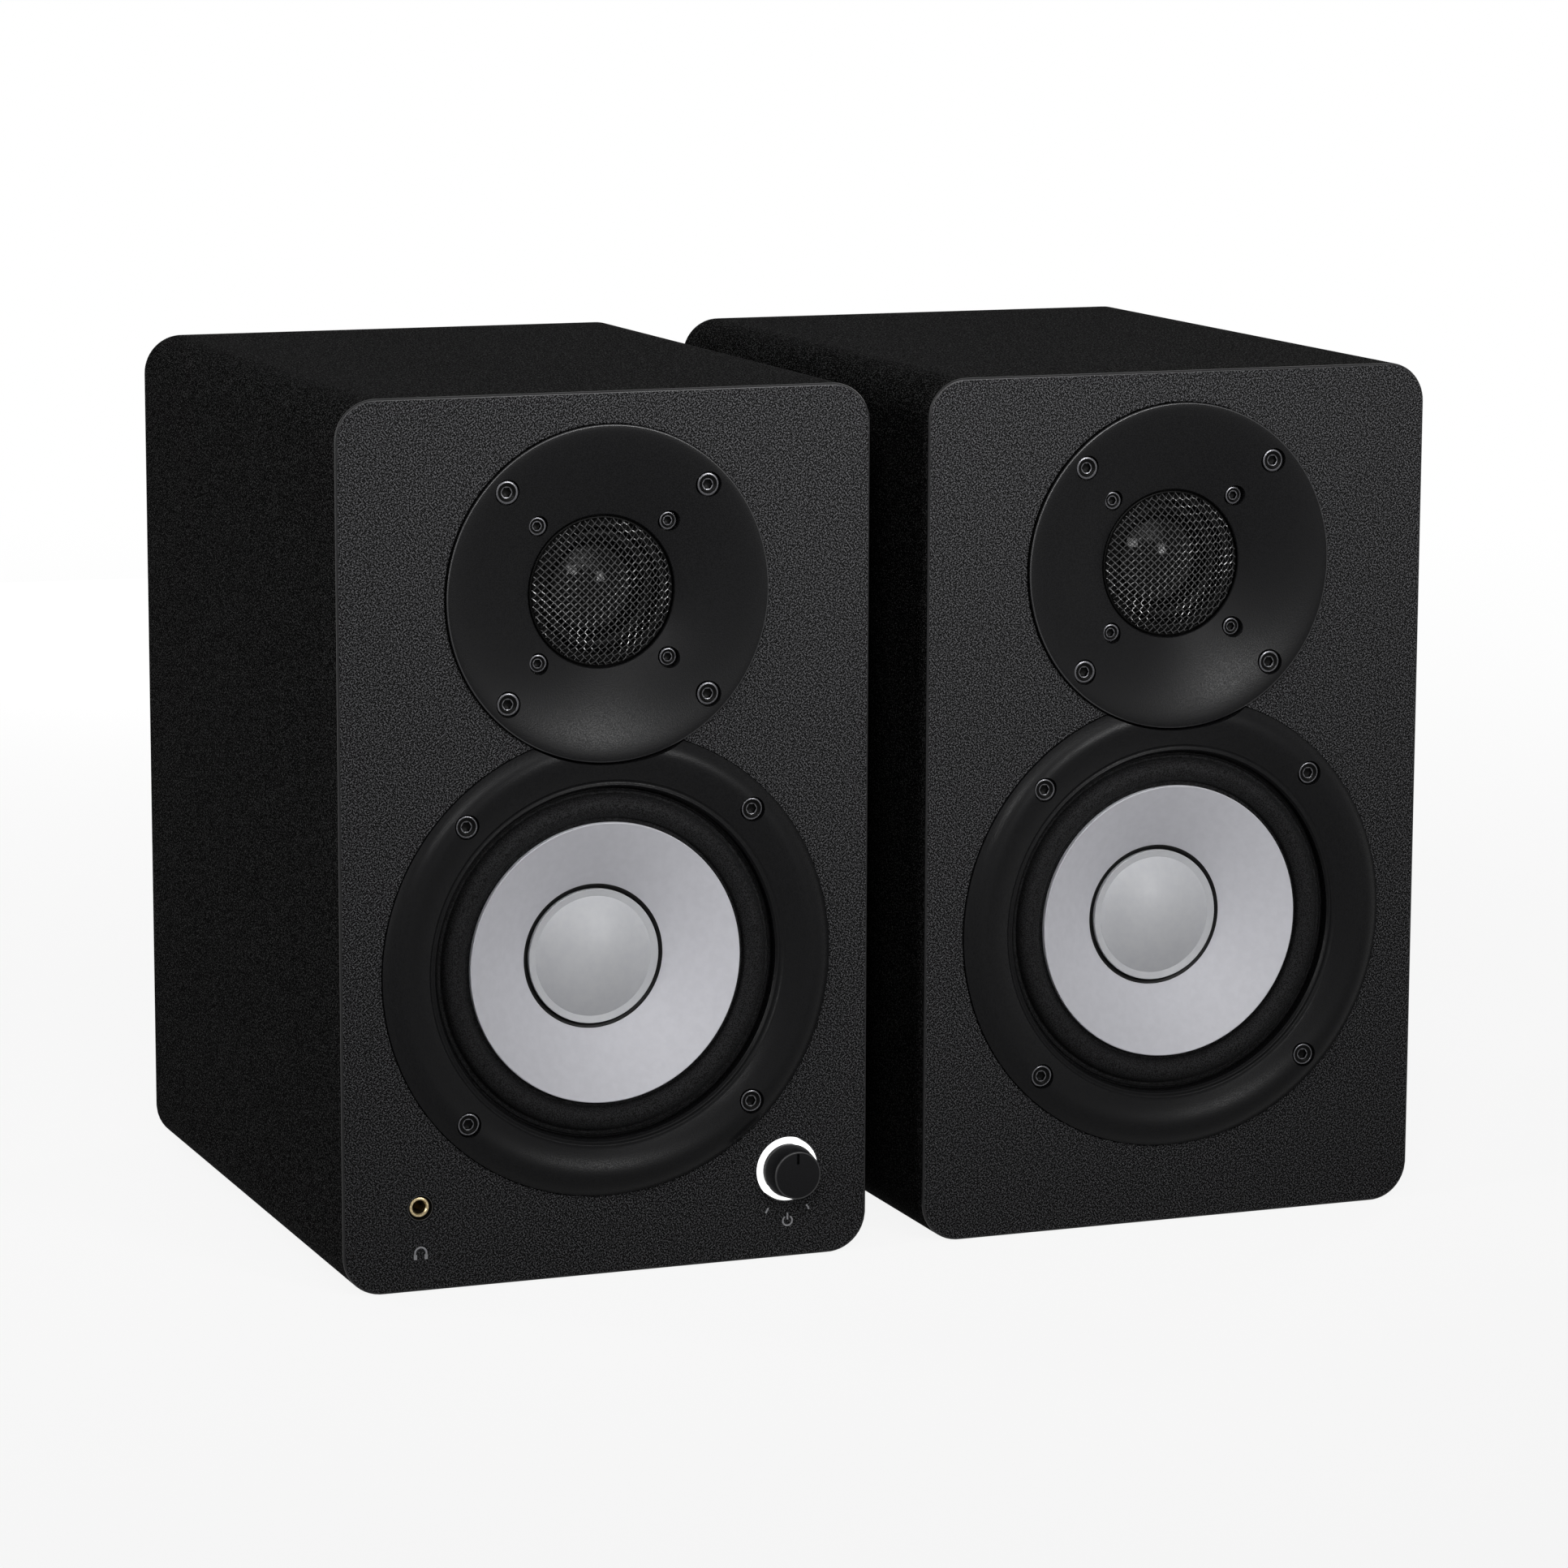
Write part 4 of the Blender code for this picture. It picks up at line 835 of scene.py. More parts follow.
@dataclass(frozen=True)
class Cabinet:
    """The board box of one speaker, with its pebbled front and wrapped sides."""

    seat: Seat
    width: float = 150.0
    tall: float = 240.0
    deep: float = 193.0
    corner: float = 11.0
    edge: float = 0.6
    guard: float = 0.5
    wall: float = 9.0
    inner_corner: float = 4.0
    baffle: float = 15.0
    rebate: float = 3.0
    ledge: float = 4.0
    woofer_hole: float = 63.62
    tweeter_hole: float = 45.42
    hole_ease: float = 0.25
    knob_hole: float = 9.05
    jack_hole: float = 3.85
    steps: int = 720

    @property
    def waist(self) -> float:
        """Height at which the two round holes cross."""
        apart = TWEETER_Z - WOOFER_Z
        return WOOFER_Z + (apart**2 + self.woofer_hole**2 - self.tweeter_hole**2) / (2.0 * apart)

    def angles(self) -> Array:
        """Even angles about the waist, with the two at which the holes cross."""
        even = np.arange(self.steps) * 2.0 * np.pi / self.steps
        return np.unique(np.concatenate((even, (0.0, np.pi))))

    def circle_reach(self, angle: Array, z: float, radius: float) -> Array:
        """Distance from the waist to a circle: b + sqrt(r^2 - c^2 + b^2), where b is c along the ray.

        Args:
            angle: The rays' angles.
            z: Height of the circle's centre, which lies c above the waist.
            radius: The circle's radius r.

        Returns:
            The distances.
        """
        offset = z - self.waist
        along = offset * np.sin(angle)
        return along + np.sqrt(radius**2 - offset**2 + along**2)

    def hole_reach(self, angle: Array) -> Array:
        """Distance from the waist to the edge of the two joined holes, the farther of their circles.

        Args:
            angle: The rays' angles.

        Returns:
            The distances.
        """
        woofer = self.circle_reach(angle, WOOFER_Z, self.woofer_hole)
        tweeter = self.circle_reach(angle, TWEETER_Z, self.tweeter_hole)
        return np.maximum(woofer, tweeter)

    def outline_reach(self, angle: Array, inset: float, corner: float) -> Array:
        """Distance from the waist to the cabinet's outline, drawn in by inset.

        A ray meets the nearer of a side and an end. Where that is past a corner's start, it
        meets the corner's circle instead.

        Args:
            angle: The rays' angles.
            inset: How far the outline is drawn in.
            corner: Its corners' radius.

        Returns:
            The distances.
        """
        half = self.width / 2.0 - inset
        top, foot = self.tall - inset - self.waist, inset - self.waist
        across, up = np.cos(angle), np.sin(angle)
        with np.errstate(divide="ignore"):
            side = np.abs(half / across)
            end = np.where(up > 0.0, top / up, foot / up)
        plain = np.minimum(side, np.where(up == 0.0, np.inf, end))
        centre_x = np.sign(across) * (half - corner)
        centre_z = np.where(up > 0.0, top - corner, foot + corner)
        in_corner = (plain * np.abs(across) > half - corner) & (plain * up / centre_z > 1.0)
        along = centre_x * across + centre_z * up
        apart = centre_x**2 + centre_z**2
        rounded = along + np.sqrt(np.maximum(corner**2 - apart + along**2, 0.0))
        return np.where(in_corner, rounded, plain)

    def shell(self) -> tuple[Surface, Numbers]:
        """The box as one closed profile for each ray: hole, face, side, rear lip and lining.

        A row keeps the guard's distance from each rounded edge, so that the flats stay flat.

        Returns:
            The surface and each face's finish: 0 for the front paint, 1 for the wrap and 2 for
            the rubbed edge between them.
        """
        angle = self.angles()
        hole = self.hole_reach(angle)
        turn = np.radians((0.0, 22.5, 45.0, 67.5, 90.0))
        insets = self.edge * (1.0 - np.sin(turn))
        falls = self.edge * (1.0 - np.cos(turn))
        ring = [self.outline_reach(angle, inset, self.corner - inset) for inset in insets]
        flat = self.edge + self.guard
        inside = self.outline_reach(angle, flat, self.corner - flat)
        lining = self.outline_reach(angle, self.wall, self.inner_corner)
        front = [(hole, self.rebate, 1), (hole, self.hole_ease, 0), (hole + self.hole_ease, 0.0, 0)]
        front += [(hole + share * (inside - hole), 0.0, 0) for share in (0.08, 0.5, 1.0)]
        front += [(reach, fall, 2) for reach, fall in zip(ring, falls)]
        sides = [(ring[-1], depth, 1) for depth in (self.edge, flat, self.deep - flat)]
        sides += [(reach, self.deep - fall, 1) for reach, fall in zip(ring[::-1], falls[::-1])]
        rear = [(inside, self.deep, 1), (lining, self.deep, 1), (lining, self.baffle, 1)]
        rear += [(hole - self.ledge, depth, 1) for depth in (self.baffle, self.rebate)]
        rows = front[:-1] + sides + rear
        reach = np.stack([row[0] for row in rows])
        depth = np.array([[row[1]] for row in rows])
        zones = np.repeat(np.array([row[2] for row in rows]), len(angle))
        return polar(reach, depth, angle, True), zones

    def build(self) -> None:
        """Makes the shell, and pierces the left speaker's for its controls."""
        surface, zones = self.shell()
        shell = make_piece(
            self.seat.named("cabinet_shell"),
            self.seat.placed(surface, 0.0, self.waist),
            (BAFFLE_PAINT_AND_GLINTS, SIDE_WRAP_AND_GLINTS, RUBBED_EDGE),
            zones,
        )
        if self.seat is Seat.LEFT:
            # The rods that cut the holes stand out of the board on both sides.
            for place, radius in ((KNOB_AT, self.knob_hole), (JACK_AT, self.jack_hole)):
                hole = rod(radius, -2.0, self.baffle + 1.0, 72)
                carve(shell, self.seat.placed(hole, *place))
        dress(shell, Fixing(ROOT, "cabinet_board", (self.seat.named("cabinet"),)), 40.0)


@dataclass(frozen=True)
class Woofer:
    """The bass driver: moulded frame with its rounded ring, surround, cone, cap and spider."""

    seat: Seat
    ring: float = 63.5
    ring_edge: float = 0.6
    ring_back: float = 2.7
    crest: float = 2.9
    crest_radius: float = 58.0
    outer_power: float = 2.2
    inner_power: float = 1.7
    lip: float = 48.3
    lip_depth: float = 0.8
    bead: Bump = Bump(0.45, 0.6, 0.4)
    groove: Bump = Bump(0.3, 1.6, 0.4)
    plate_clear: float = 45.8
    screw_radius: float = 57.1
    screw_head: float = 3.0
    screw_top: float = -2.1
    screw_seat: float = 3.45
    screw_floor: float = 0.4
    seat_depth: float = 4.4
    roll_room: float = 45.9
    roll_middle: float = 42.9
    roll: float = 3.3
    level: float = 3.5
    thick: float = 0.6
    seal: Bump = Bump(0.55, 47.35, 0.28)
    cone: float = 38.4
    cone_ease: float = 0.25
    cone_thick: float = 0.8
    swell: float = 0.25
    rim: float = 36.9
    rim_depth: float = 2.4
    rim_thick: float = 0.7
    neck: float = 13.2
    cap: float = 18.5
    cap_chamfer: float = 16.5
    cap_depth: float = 12.3
    cap_edge: float = 0.5
    cap_foot: float = 0.9
    cap_rise: float = 4.2
    cap_inside: float = 3.1
    cap_seat: float = 1.1
    glue_out: float = 0.7
    glue_half: tuple[float, float] = (0.82, 0.28)
    spider: float = 38.2
    spider_depth: float = 20.0
    spider_flat: float = 3.0
    spider_collar: float = 1.5
    wave_high: float = 0.7
    waves: int = 6
    spider_hole: float = 35.3
    bell: float = 38.5
    bell_wall: float = 2.5
    basket: float = 50.8
    floor: float = 24.7
    floor_thick: float = 3.0
    floor_reach: float = 34.9
    foot: float = 36.0
    motor_bore: float = 15.4
    window: float = 36.0
    window_corner: float = 3.0
    window_past: float = 4.0
    window_depths: tuple[float, float] = (10.0, 19.4)
    steps: int = 288

    @property
    def mover(self) -> str:
        """The body that the cone rides on."""
        return self.seat.named("woofer")

    def placed(self, shape: Surface) -> Surface:
        """A shape about the woofer's axis, moved to its speaker."""
        return self.seat.placed(shape, 0.0, WOOFER_Z)

    def crown(self, radius: Array) -> Array:
        """Height of the ring's rounded front.

        It is the crest less a power of the way to either edge, with a bell-shaped bead and a
        groove beside it along the inner lip.

        Args:
            radius: Distances from the axis.

        Returns:
            The height at each of them.
        """
        outward = (radius - self.crest_radius) / (self.ring - self.crest_radius)
        inward = -(radius - self.crest_radius) / (self.crest_radius - self.lip)
        outer = (self.crest - self.ring_edge) * np.clip(outward, 0.0, None) ** self.outer_power
        inner = (self.crest + self.lip_depth) * np.clip(inward, 0.0, None) ** self.inner_power
        from_lip = radius - self.lip
        return self.crest - outer - inner + self.bead.at(from_lip) - self.groove.at(from_lip)

    def ring_reach(self, angle: Array) -> Array:
        """The ring's outer radius, drawn in where the tweeter's plate stands over it.

        The near side of the plate's circle is d cos p - sqrt(r^2 - d^2 sin^2 p), with d the
        distance between the two axes and p the angle from straight up.

        Args:
            angle: Angles round the woofer's axis.

        Returns:
            The radius at each angle.
        """
        apart = TWEETER_Z - WOOFER_Z
        along = apart * np.sin(angle)
        under = self.plate_clear**2 - (apart * np.cos(angle)) ** 2
        near = along - np.sqrt(np.maximum(under, 0.0))
        return np.where((under > 0.0) & (along > 0.0), np.minimum(near, self.ring), self.ring)

    def frame_shape(self) -> Surface:
        """The frame as one closed profile for each angle: crown, rim, basket and seats.

        Returns:
            The closed frame, whose rows stand closest on the bead and the groove at the lip.
        """
        apart = TWEETER_Z - WOOFER_Z
        meet = np.arccos((self.ring**2 + apart**2 - self.plate_clear**2) / (2.0 * self.ring * apart))
        even = np.arange(self.steps) * 2.0 * np.pi / self.steps
        angle = np.unique(np.concatenate((even, (np.pi / 2.0 - meet, np.pi / 2.0 + meet))))
        outer = self.ring_reach(angle)
        share = np.concatenate((np.linspace(0.0, 0.17, 20), np.linspace(0.2, 1.0, 32)))[:, None]
        crown_reach = self.lip + share * (outer - self.lip)
        shelf = self.spider_depth + self.thick + CLEARANCE
        basket = [
            (self.basket, self.ring_back),
            (self.bell + self.bell_wall, shelf),
            (self.foot, self.floor + self.floor_thick),
            (self.motor_bore, self.floor + self.floor_thick),
            (self.motor_bore, self.floor),
            (self.floor_reach, self.floor),
            (self.spider_hole, shelf),
            (self.bell, shelf),
            (self.roll_room, self.seat_depth),
            (self.lip, self.seat_depth),
        ]
        fixed = np.array(basket)
        level = np.ones_like(outer)
        reach = np.concatenate((crown_reach, outer[None], fixed[:, :1] * level))
        depth = (-self.crown(crown_reach), self.ring_back * level[None], fixed[:, 1:] * level)
        return polar(reach, np.concatenate(depth), angle, True)

    def build_frame(self) -> None:
        """Makes the frame, with its basket's windows and its screws' seats cut out."""
        frame_piece = make_piece(self.seat.named("woofer_ring"), self.placed(self.frame_shape()), (MOULDED,))
        reach, keep = self.basket + self.window_past, self.bell - self.window_past
        middle, span = (reach + keep) / 2.0, reach - keep
        upright = rounded_outline(span, self.window, self.window_corner)
        level = rounded_outline(self.window, span, self.window_corner)
        tall = lofted([(upright, depth) for depth in self.window_depths])
        wide = lofted([(level, depth) for depth in self.window_depths])
        windows = joined(tall.moved(middle), tall.moved(-middle), wide.moved(z=middle), wide.moved(z=-middle))
        carve(frame_piece, self.placed(windows))
        # The rods that cut the seats start in front of the crest.
        drill = rod(self.screw_seat, -8.0, self.screw_floor)
        carve(frame_piece, self.placed(repeated(drill, diagonal_places(self.screw_radius))))
        dress(frame_piece, Fixing(ROOT, "moulded_frame", (self.seat.named("woofer_frame"),)), 30.0)

    def build_screws(self) -> None:
        """Makes the four screws that hold the ring."""
        screw = CapScrew(self.screw_head, self.screw_floor - self.screw_top)
        places = diagonal_places(self.screw_radius, self.screw_top)
        heads = self.placed(repeated(screw.shape(), places))
        add_screws(self.seat.named("woofer_screws"), heads, screw.zones(len(places)))

    def build_surround(self) -> None:
        """Makes the half roll, with the narrow bead that seals it to the frame.

        Its front is level outside the roll and level - sqrt(r^2 - x^2) on it, less the bead's
        bell-shaped bump. Its back is a like line one thickness behind, narrower by one thickness
        on the roll and without the bead.
        """
        turn = np.linspace(0.0, np.pi, 33)
        flat = np.linspace(self.lip - CLEARANCE, self.roll_middle + self.roll + 0.1, 16)
        outside = np.stack((flat, self.level - self.seal.at(flat)), axis=1)
        arch = np.stack((np.cos(turn), -np.sin(turn)), axis=1)
        front_roll = (self.roll_middle, self.level) + self.roll * arch
        back_roll = (self.roll_middle, self.level + self.thick) + (self.roll - self.thick, self.roll) * arch
        ends = [(self.rim, self.level), (self.rim, self.level + self.thick)]
        tail = [(self.lip - CLEARANCE, self.level + self.thick)]
        profile = np.concatenate((outside, front_roll, ends, back_roll[::-1], tail))
        shape = self.placed(turned(profile, 192))
        piece = make_piece(self.seat.named("surround_roll"), shape, (RUBBER,))
        suspend(piece, self.mover)
        settle(piece, Fixing(self.mover, "rubber", (self.seat.named("surround"),)))

    @property
    def slope(self) -> float:
        """How much deeper the cone is for each millimetre towards its middle."""
        return (self.cap_depth + self.cap_seat - self.rim_depth) / (self.rim - self.cap)

    def cone_depth(self, radius: Array) -> Array:
        """Depth of the cone's front: a straight flare with a slight swell of half a sine."""
        share = (self.rim - radius) / (self.rim - self.neck)
        return self.rim_depth + self.slope * (self.rim - radius) - self.swell * np.sin(np.pi * share)

    def build_cone(self) -> None:
        """Makes the cone: its eased rim, its front, and its back one thickness behind that."""
        ease = self.cone_ease
        radius = np.linspace(self.cone - ease, self.neck, 32)
        face = np.stack((radius, self.cone_depth(radius)), axis=1)
        edge = face[0, 1]
        rim = [
            (self.cone, self.rim_depth + self.rim_thick),
            (self.cone, edge + ease),
            (self.cone - EASE_MIDDLE * ease, edge + EASE_MIDDLE * ease),
        ]
        behind = np.linspace(self.neck, self.rim, 30)
        back = np.stack((behind, self.cone_depth(behind) + self.cone_thick), axis=1)
        profile = np.concatenate((rim, face, back))
        cone = make_piece(self.seat.named("cone_flare"), self.placed(turned(profile, 192)), (CONE,))
        dress(cone, Fixing(self.mover, "cone", (self.seat.named("cone"),)))

    def build_cap(self) -> None:
        """Makes the dust cap: a dome that rises as 1 - t^2 inside a narrow turned-up edge."""
        chamfer = self.cap_depth - self.cap_edge
        foot = self.cap_depth + self.cap_foot
        share = np.linspace(1.0, 0.0, 24)
        rise = self.cap_rise * (1.0 - share**2)
        dome = np.stack((share * (self.cap_chamfer - 0.1), chamfer + 0.3 - rise), axis=1)
        bevel = [
            (self.cap, foot),
            (self.cap, chamfer + 0.1),
            (self.cap - 0.12, chamfer - 0.02),
            (self.cap_chamfer, chamfer + 0.4),
        ]
        inside = (0.0, chamfer - self.cap_inside)
        inner = [inside, (self.cap_chamfer - 1.5, chamfer + 0.6), (self.cap - 1.0, foot)]
        profile = np.concatenate((dome[::-1], bevel[::-1], inner[::-1]))
        cap = make_piece(self.seat.named("cap_dome"), self.placed(turned(profile, 192)), (CAP,))
        dress(cap, Fixing(self.mover, "dust_cap", (self.seat.named("dust_cap"),)), 14.0)

    def build_glue(self) -> None:
        """Makes the glue round the cap, a flat ellipse in section that lies along the cone's slope."""
        around = np.linspace(0.0, 2.0 * np.pi, 24, endpoint=False)[:, None]
        outward = np.array((1.0, -self.slope)) / np.hypot(1.0, self.slope)
        forward = np.array((outward[1], -outward[0]))
        long, short = self.glue_half
        radius = np.array(self.cap + self.glue_out)
        middle = np.stack((radius, self.cone_depth(radius)))
        bead = middle + long * np.cos(around) * outward + short * np.sin(around) * forward
        glue = make_piece(self.seat.named("cap_bead"), self.placed(turned(bead, 144)), (GLUE,))
        dress(glue, Fixing(self.mover, "rubber"))

    def build_spider(self) -> None:
        """Makes the corrugated disc: depth + height (cos of the waves - 1) between its flat edges."""
        outer, inner = self.spider - self.spider_flat, self.neck + self.spider_collar
        radius = np.linspace(outer, inner, 97)
        wave = self.wave_high * (np.cos(np.linspace(0.0, 2.0 * np.pi * self.waves, 97)) - 1.0)
        ends = ((self.spider, self.spider_depth), (self.neck, self.spider_depth))
        front = np.concatenate((ends[:1], np.stack((radius, self.spider_depth + wave), axis=1), ends[1:]))
        profile = np.concatenate((front, front[::-1] + (0.0, self.thick)))
        piece = make_piece(self.seat.named("spider_disc"), self.placed(turned(profile, 96)), (SPIDER_CLOTH,))
        suspend(piece, self.mover)
        settle(piece, Fixing(self.mover, "spider_cloth", (self.seat.named("spider"),)))

    def build(self) -> None:
        """Makes the whole driver."""
        self.build_frame()
        self.build_screws()
        self.build_surround()
        self.build_cone()
        self.build_cap()
        self.build_glue()
        self.build_spider()


@dataclass(frozen=True)
class Tweeter:
    """The treble driver: dished plate, woven wire dome, and the silk dome with its roll."""

    seat: Seat
    plate: float = 45.3
    plate_ease: float = 0.35
    proud: float = 1.5
    back: float = 2.3
    dish: float = 44.2
    dish_deep: float = 6.5
    dish_curve: float = 1.45
    grille_seat: float = 20.6
    seat_depth: float = 6.6
    throat: float = 17.2
    boss: float = 33.0
    boss_depth: float = 11.0
    wire_reach: float = 19.6
    wire_rise: float = 5.5
    wire_edge: float = 5.0
    pitch: float = 1.45
    wire: float = 0.18
    hoop: tuple[float, float] = (19.8, 5.9)
    hoop_half: tuple[float, float] = (0.5, 0.45)
    dome: float = 12.9
    dome_rise: float = 4.5
    thick: float = 0.5
    former_inset: float = 0.3
    former_deep: float = 5.5
    roll_edge: float = 20.3
    roll_rise: float = 1.4
    outer_screw: CapScrew = CapScrew(3.1, 2.4, rim=0.6)
    outer_circle: float = 39.9
    outer_seat: float = 3.5
    outer_floor: float = 1.6
    outer_top: float = -0.6
    inner_screw: CapScrew = CapScrew(2.45, 2.4, rim=0.5, socket=1.2, cup_deep=0.4)
    inner_circle: float = 26.0
    inner_seat: float = 2.9
    inner_floor: float = 6.2
    inner_top: float = 3.8

    @property
    def mover(self) -> str:
        """The body that the dome rides on."""
        return self.seat.named("tweeter")

    def placed(self, shape: Surface) -> Surface:
        """A shape about the tweeter's axis, moved to its speaker."""
        return self.seat.placed(shape, 0.0, TWEETER_Z)

    def dish_depth(self, radius: Array) -> Array:
        """Depth of the dish: a power of the way in from its edge, less what the plate stands proud."""
        inward = (self.dish - radius) / (self.dish - self.grille_seat)
        return -self.proud + self.dish_deep * inward**self.dish_curve

    def build_plate(self) -> None:
        """Makes the plate, with a rounded rim painted lighter as a highlight, a throat painted dull black as
        shade, and two rings of screw seats in the dish.
        """
        turn = np.linspace(0.0, np.pi / 2.0, 7)
        ease = self.plate_ease
        corner = (self.plate - ease, ease - self.proud)
        rim = corner + ease * np.stack((np.cos(turn), -np.sin(turn)), axis=1)
        radius = np.linspace(self.dish, self.grille_seat + 0.25, 44)
        dish = np.stack((radius, self.dish_depth(radius)), axis=1)
        roll_face = self.boss_depth - self.thick - CLEARANCE
        rear = [
            (self.grille_seat, self.wire_edge + 0.2),
            (self.grille_seat, self.seat_depth),
            (self.throat, self.seat_depth),
            (self.throat, roll_face),
            (self.grille_seat, roll_face),
            (self.grille_seat, self.boss_depth),
            (self.boss, self.boss_depth),
            (self.boss, self.back),
            (self.plate, self.back),
        ]
        profile = np.concatenate((rim, dish, rear))
        zones = np.zeros(len(profile), int)
        # The rim's faces take the lighter edge finish, a painted highlight.
        zones[: len(rim) - 1] = 1
        # The throat's and the back's faces take the dull black, painted shade behind the grille.
        zones[len(rim) + len(dish) :] = 2
        sides = 256
        shape = self.placed(turned(profile, sides))
        name = self.seat.named("waveguide_plate")
        plate = make_piece(name, shape, (MOULDED, POLISHED_EDGE_HIGHLIGHT, BLACK_OXIDE_AND_SHADE), np.repeat(zones, sides))
        # The rods that cut the seats start in front of the plate.
        front = -6.0
        outer = rod(self.outer_seat, front, self.outer_floor)
        inner = rod(self.inner_seat, front, self.inner_floor)
        outer_seats = repeated(outer, diagonal_places(self.outer_circle))
        inner_seats = repeated(inner, diagonal_places(self.inner_circle))
        carve(plate, self.placed(joined(outer_seats, inner_seats)))
        dress(plate, Fixing(ROOT, "moulded_frame", (self.seat.named("waveguide"),)), 28.0)

    def build_screws(self) -> None:
        """Makes the plate's four outer screws and four deeper inner ones."""
        outer_places = diagonal_places(self.outer_circle, self.outer_top)
        inner_places = diagonal_places(self.inner_circle, self.inner_top)
        outer = repeated(self.outer_screw.shape(), outer_places)
        inner = repeated(self.inner_screw.shape(), inner_places)
        outer_zones = self.outer_screw.zones(len(outer_places))
        inner_zones = self.inner_screw.zones(len(inner_places))
        heads = self.placed(joined(outer, inner))
        add_screws(self.seat.named("waveguide_screws"), heads, np.concatenate((outer_zones, inner_zones)))

    def woven(self, along: Array, across: Array, sway: Array) -> Surface:
        """Tubes that follow lines across a ball, swaying along its normal.

        A line's point at (along, across) on the diagonals lies on the ball at its normal times
        the ball's radius plus the sway. The round section stands on that normal and on the
        normal's cross product with the line's direction.

        Args:
            along: Distance along each wire, by wire and step.
            across: Each wire's offset, in the same layout.
            sway: How far each point stands out of the ball.

        Returns:
            The closed wires.
        """
        ball = (self.wire_reach**2 + self.wire_rise**2) / (2.0 * self.wire_rise)
        x = (along - across) * np.sqrt(0.5)
        z = (along + across) * np.sqrt(0.5)
        normal = np.stack((x, -np.sqrt(ball**2 - x**2 - z**2), z), axis=-1) / ball
        middle = (0.0, self.wire_edge - self.wire_rise + ball, 0.0)
        centre = middle + normal * (ball + sway)[..., None]
        onward = np.gradient(centre, axis=1)
        sideways = np.cross(onward, normal)
        sideways /= np.linalg.norm(sideways, axis=-1, keepdims=True)
        turn = np.arange(6)[:, None] * np.pi / 3.0
        section = np.cos(turn) * normal[:, :, None] + np.sin(turn) * sideways[:, :, None]
        tubes = centre[:, :, None] + self.wire * section
        ends = np.broadcast_to(centre[:, :, None], tubes.shape)
        return grid(np.concatenate((ends[:, :1], tubes, ends[:, -1:]), axis=1))

    def build_grille(self) -> None:
        """Makes the plain-woven dome: each wire sways over and under the next as a cosine of its length."""
        count = int(self.wire_reach / self.pitch)
        line = np.arange(-count, count + 1)[:, None]
        across = line * self.pitch
        along = np.sqrt(self.wire_reach**2 - across**2) * np.linspace(-1.0, 1.0, 113)
        sway = self.wire * np.cos(np.pi * (along / self.pitch + line))
        across = np.broadcast_to(across, along.shape)
        warp = self.woven(along, across, sway)
        weft_points = self.woven(along, across, -sway).points * (-1.0, 1.0, 1.0)
        around = np.linspace(0.0, 2.0 * np.pi, 14, endpoint=False)
        section = np.stack((np.cos(around), np.sin(around)), axis=1)
        rim = turned(np.array(self.hoop) + np.array(self.hoop_half) * section, 120)
        shape = joined(warp, Surface(weft_points, warp.faces), rim)
        # The hoop is black wire, its black deepened with the dull finish as painted shade in the gap at the
        # grille's edge.
        zones = np.repeat((0, 1), (2 * len(warp.faces), len(rim.faces)))
        grille = make_piece(self.seat.named("grille_weave"), self.placed(shape), (WIRE, BLACK_OXIDE_AND_SHADE), zones)
        dress(grille, Fixing(ROOT, "wire_grille", (self.seat.named("grille"),)), 50.0)

    def build_dome(self) -> None:
        """Makes the dome, which rises as 1 - t^2, with its coil former behind it."""
        base, former = self.boss_depth, self.dome - self.former_inset
        share = np.linspace(0.0, 1.0, 22)
        cap = np.stack((share * self.dome, base - self.dome_rise * (1.0 - share**2)), axis=1)
        skirt = [
            (self.dome, base + self.thick),
            (former, base + self.thick),
            (former, base + self.former_deep),
            (former - self.thick, base + self.former_deep),
        ]
        under = cap[::-1] * (0.94, 1.0) + (0.0, self.thick)
        profile = np.concatenate((cap, skirt, under))
        dome = make_piece(self.seat.named("silk_dome"), self.placed(turned(profile, 96)), (DOME_SILK,))
        dress(dome, Fixing(self.mover, "tweeter_dome", (self.seat.named("tweeter_dome"),)))

    def build_roll(self) -> None:
        """Makes the roll that carries the dome: half an ellipse beside a flat edge, one thickness deep."""
        inner, edge = self.dome + 0.06, self.throat - CLEARANCE
        flat = self.boss_depth - self.thick
        turn = np.linspace(0.0, np.pi, 17)
        middle, half = (inner + edge) / 2.0, (edge - inner) / 2.0
        arch = np.stack((middle + half * np.cos(turn), flat - self.roll_rise * np.sin(turn)), axis=1)
        front = np.concatenate(([(self.roll_edge, flat)], arch))
        profile = np.concatenate((front, front[::-1] + (0.0, self.thick)))
        roll = make_piece(self.seat.named("dome_roll"), self.placed(turned(profile, 96)), (DOME_ROLL,))
        suspend(roll, self.mover)
        settle(roll, Fixing(self.mover, "rubber", (self.seat.named("tweeter_roll"),)))

    def build(self) -> None:
        """Makes the whole driver."""
        self.build_plate()
        self.build_screws()
        self.build_grille()
        self.build_dome()
        self.build_roll()


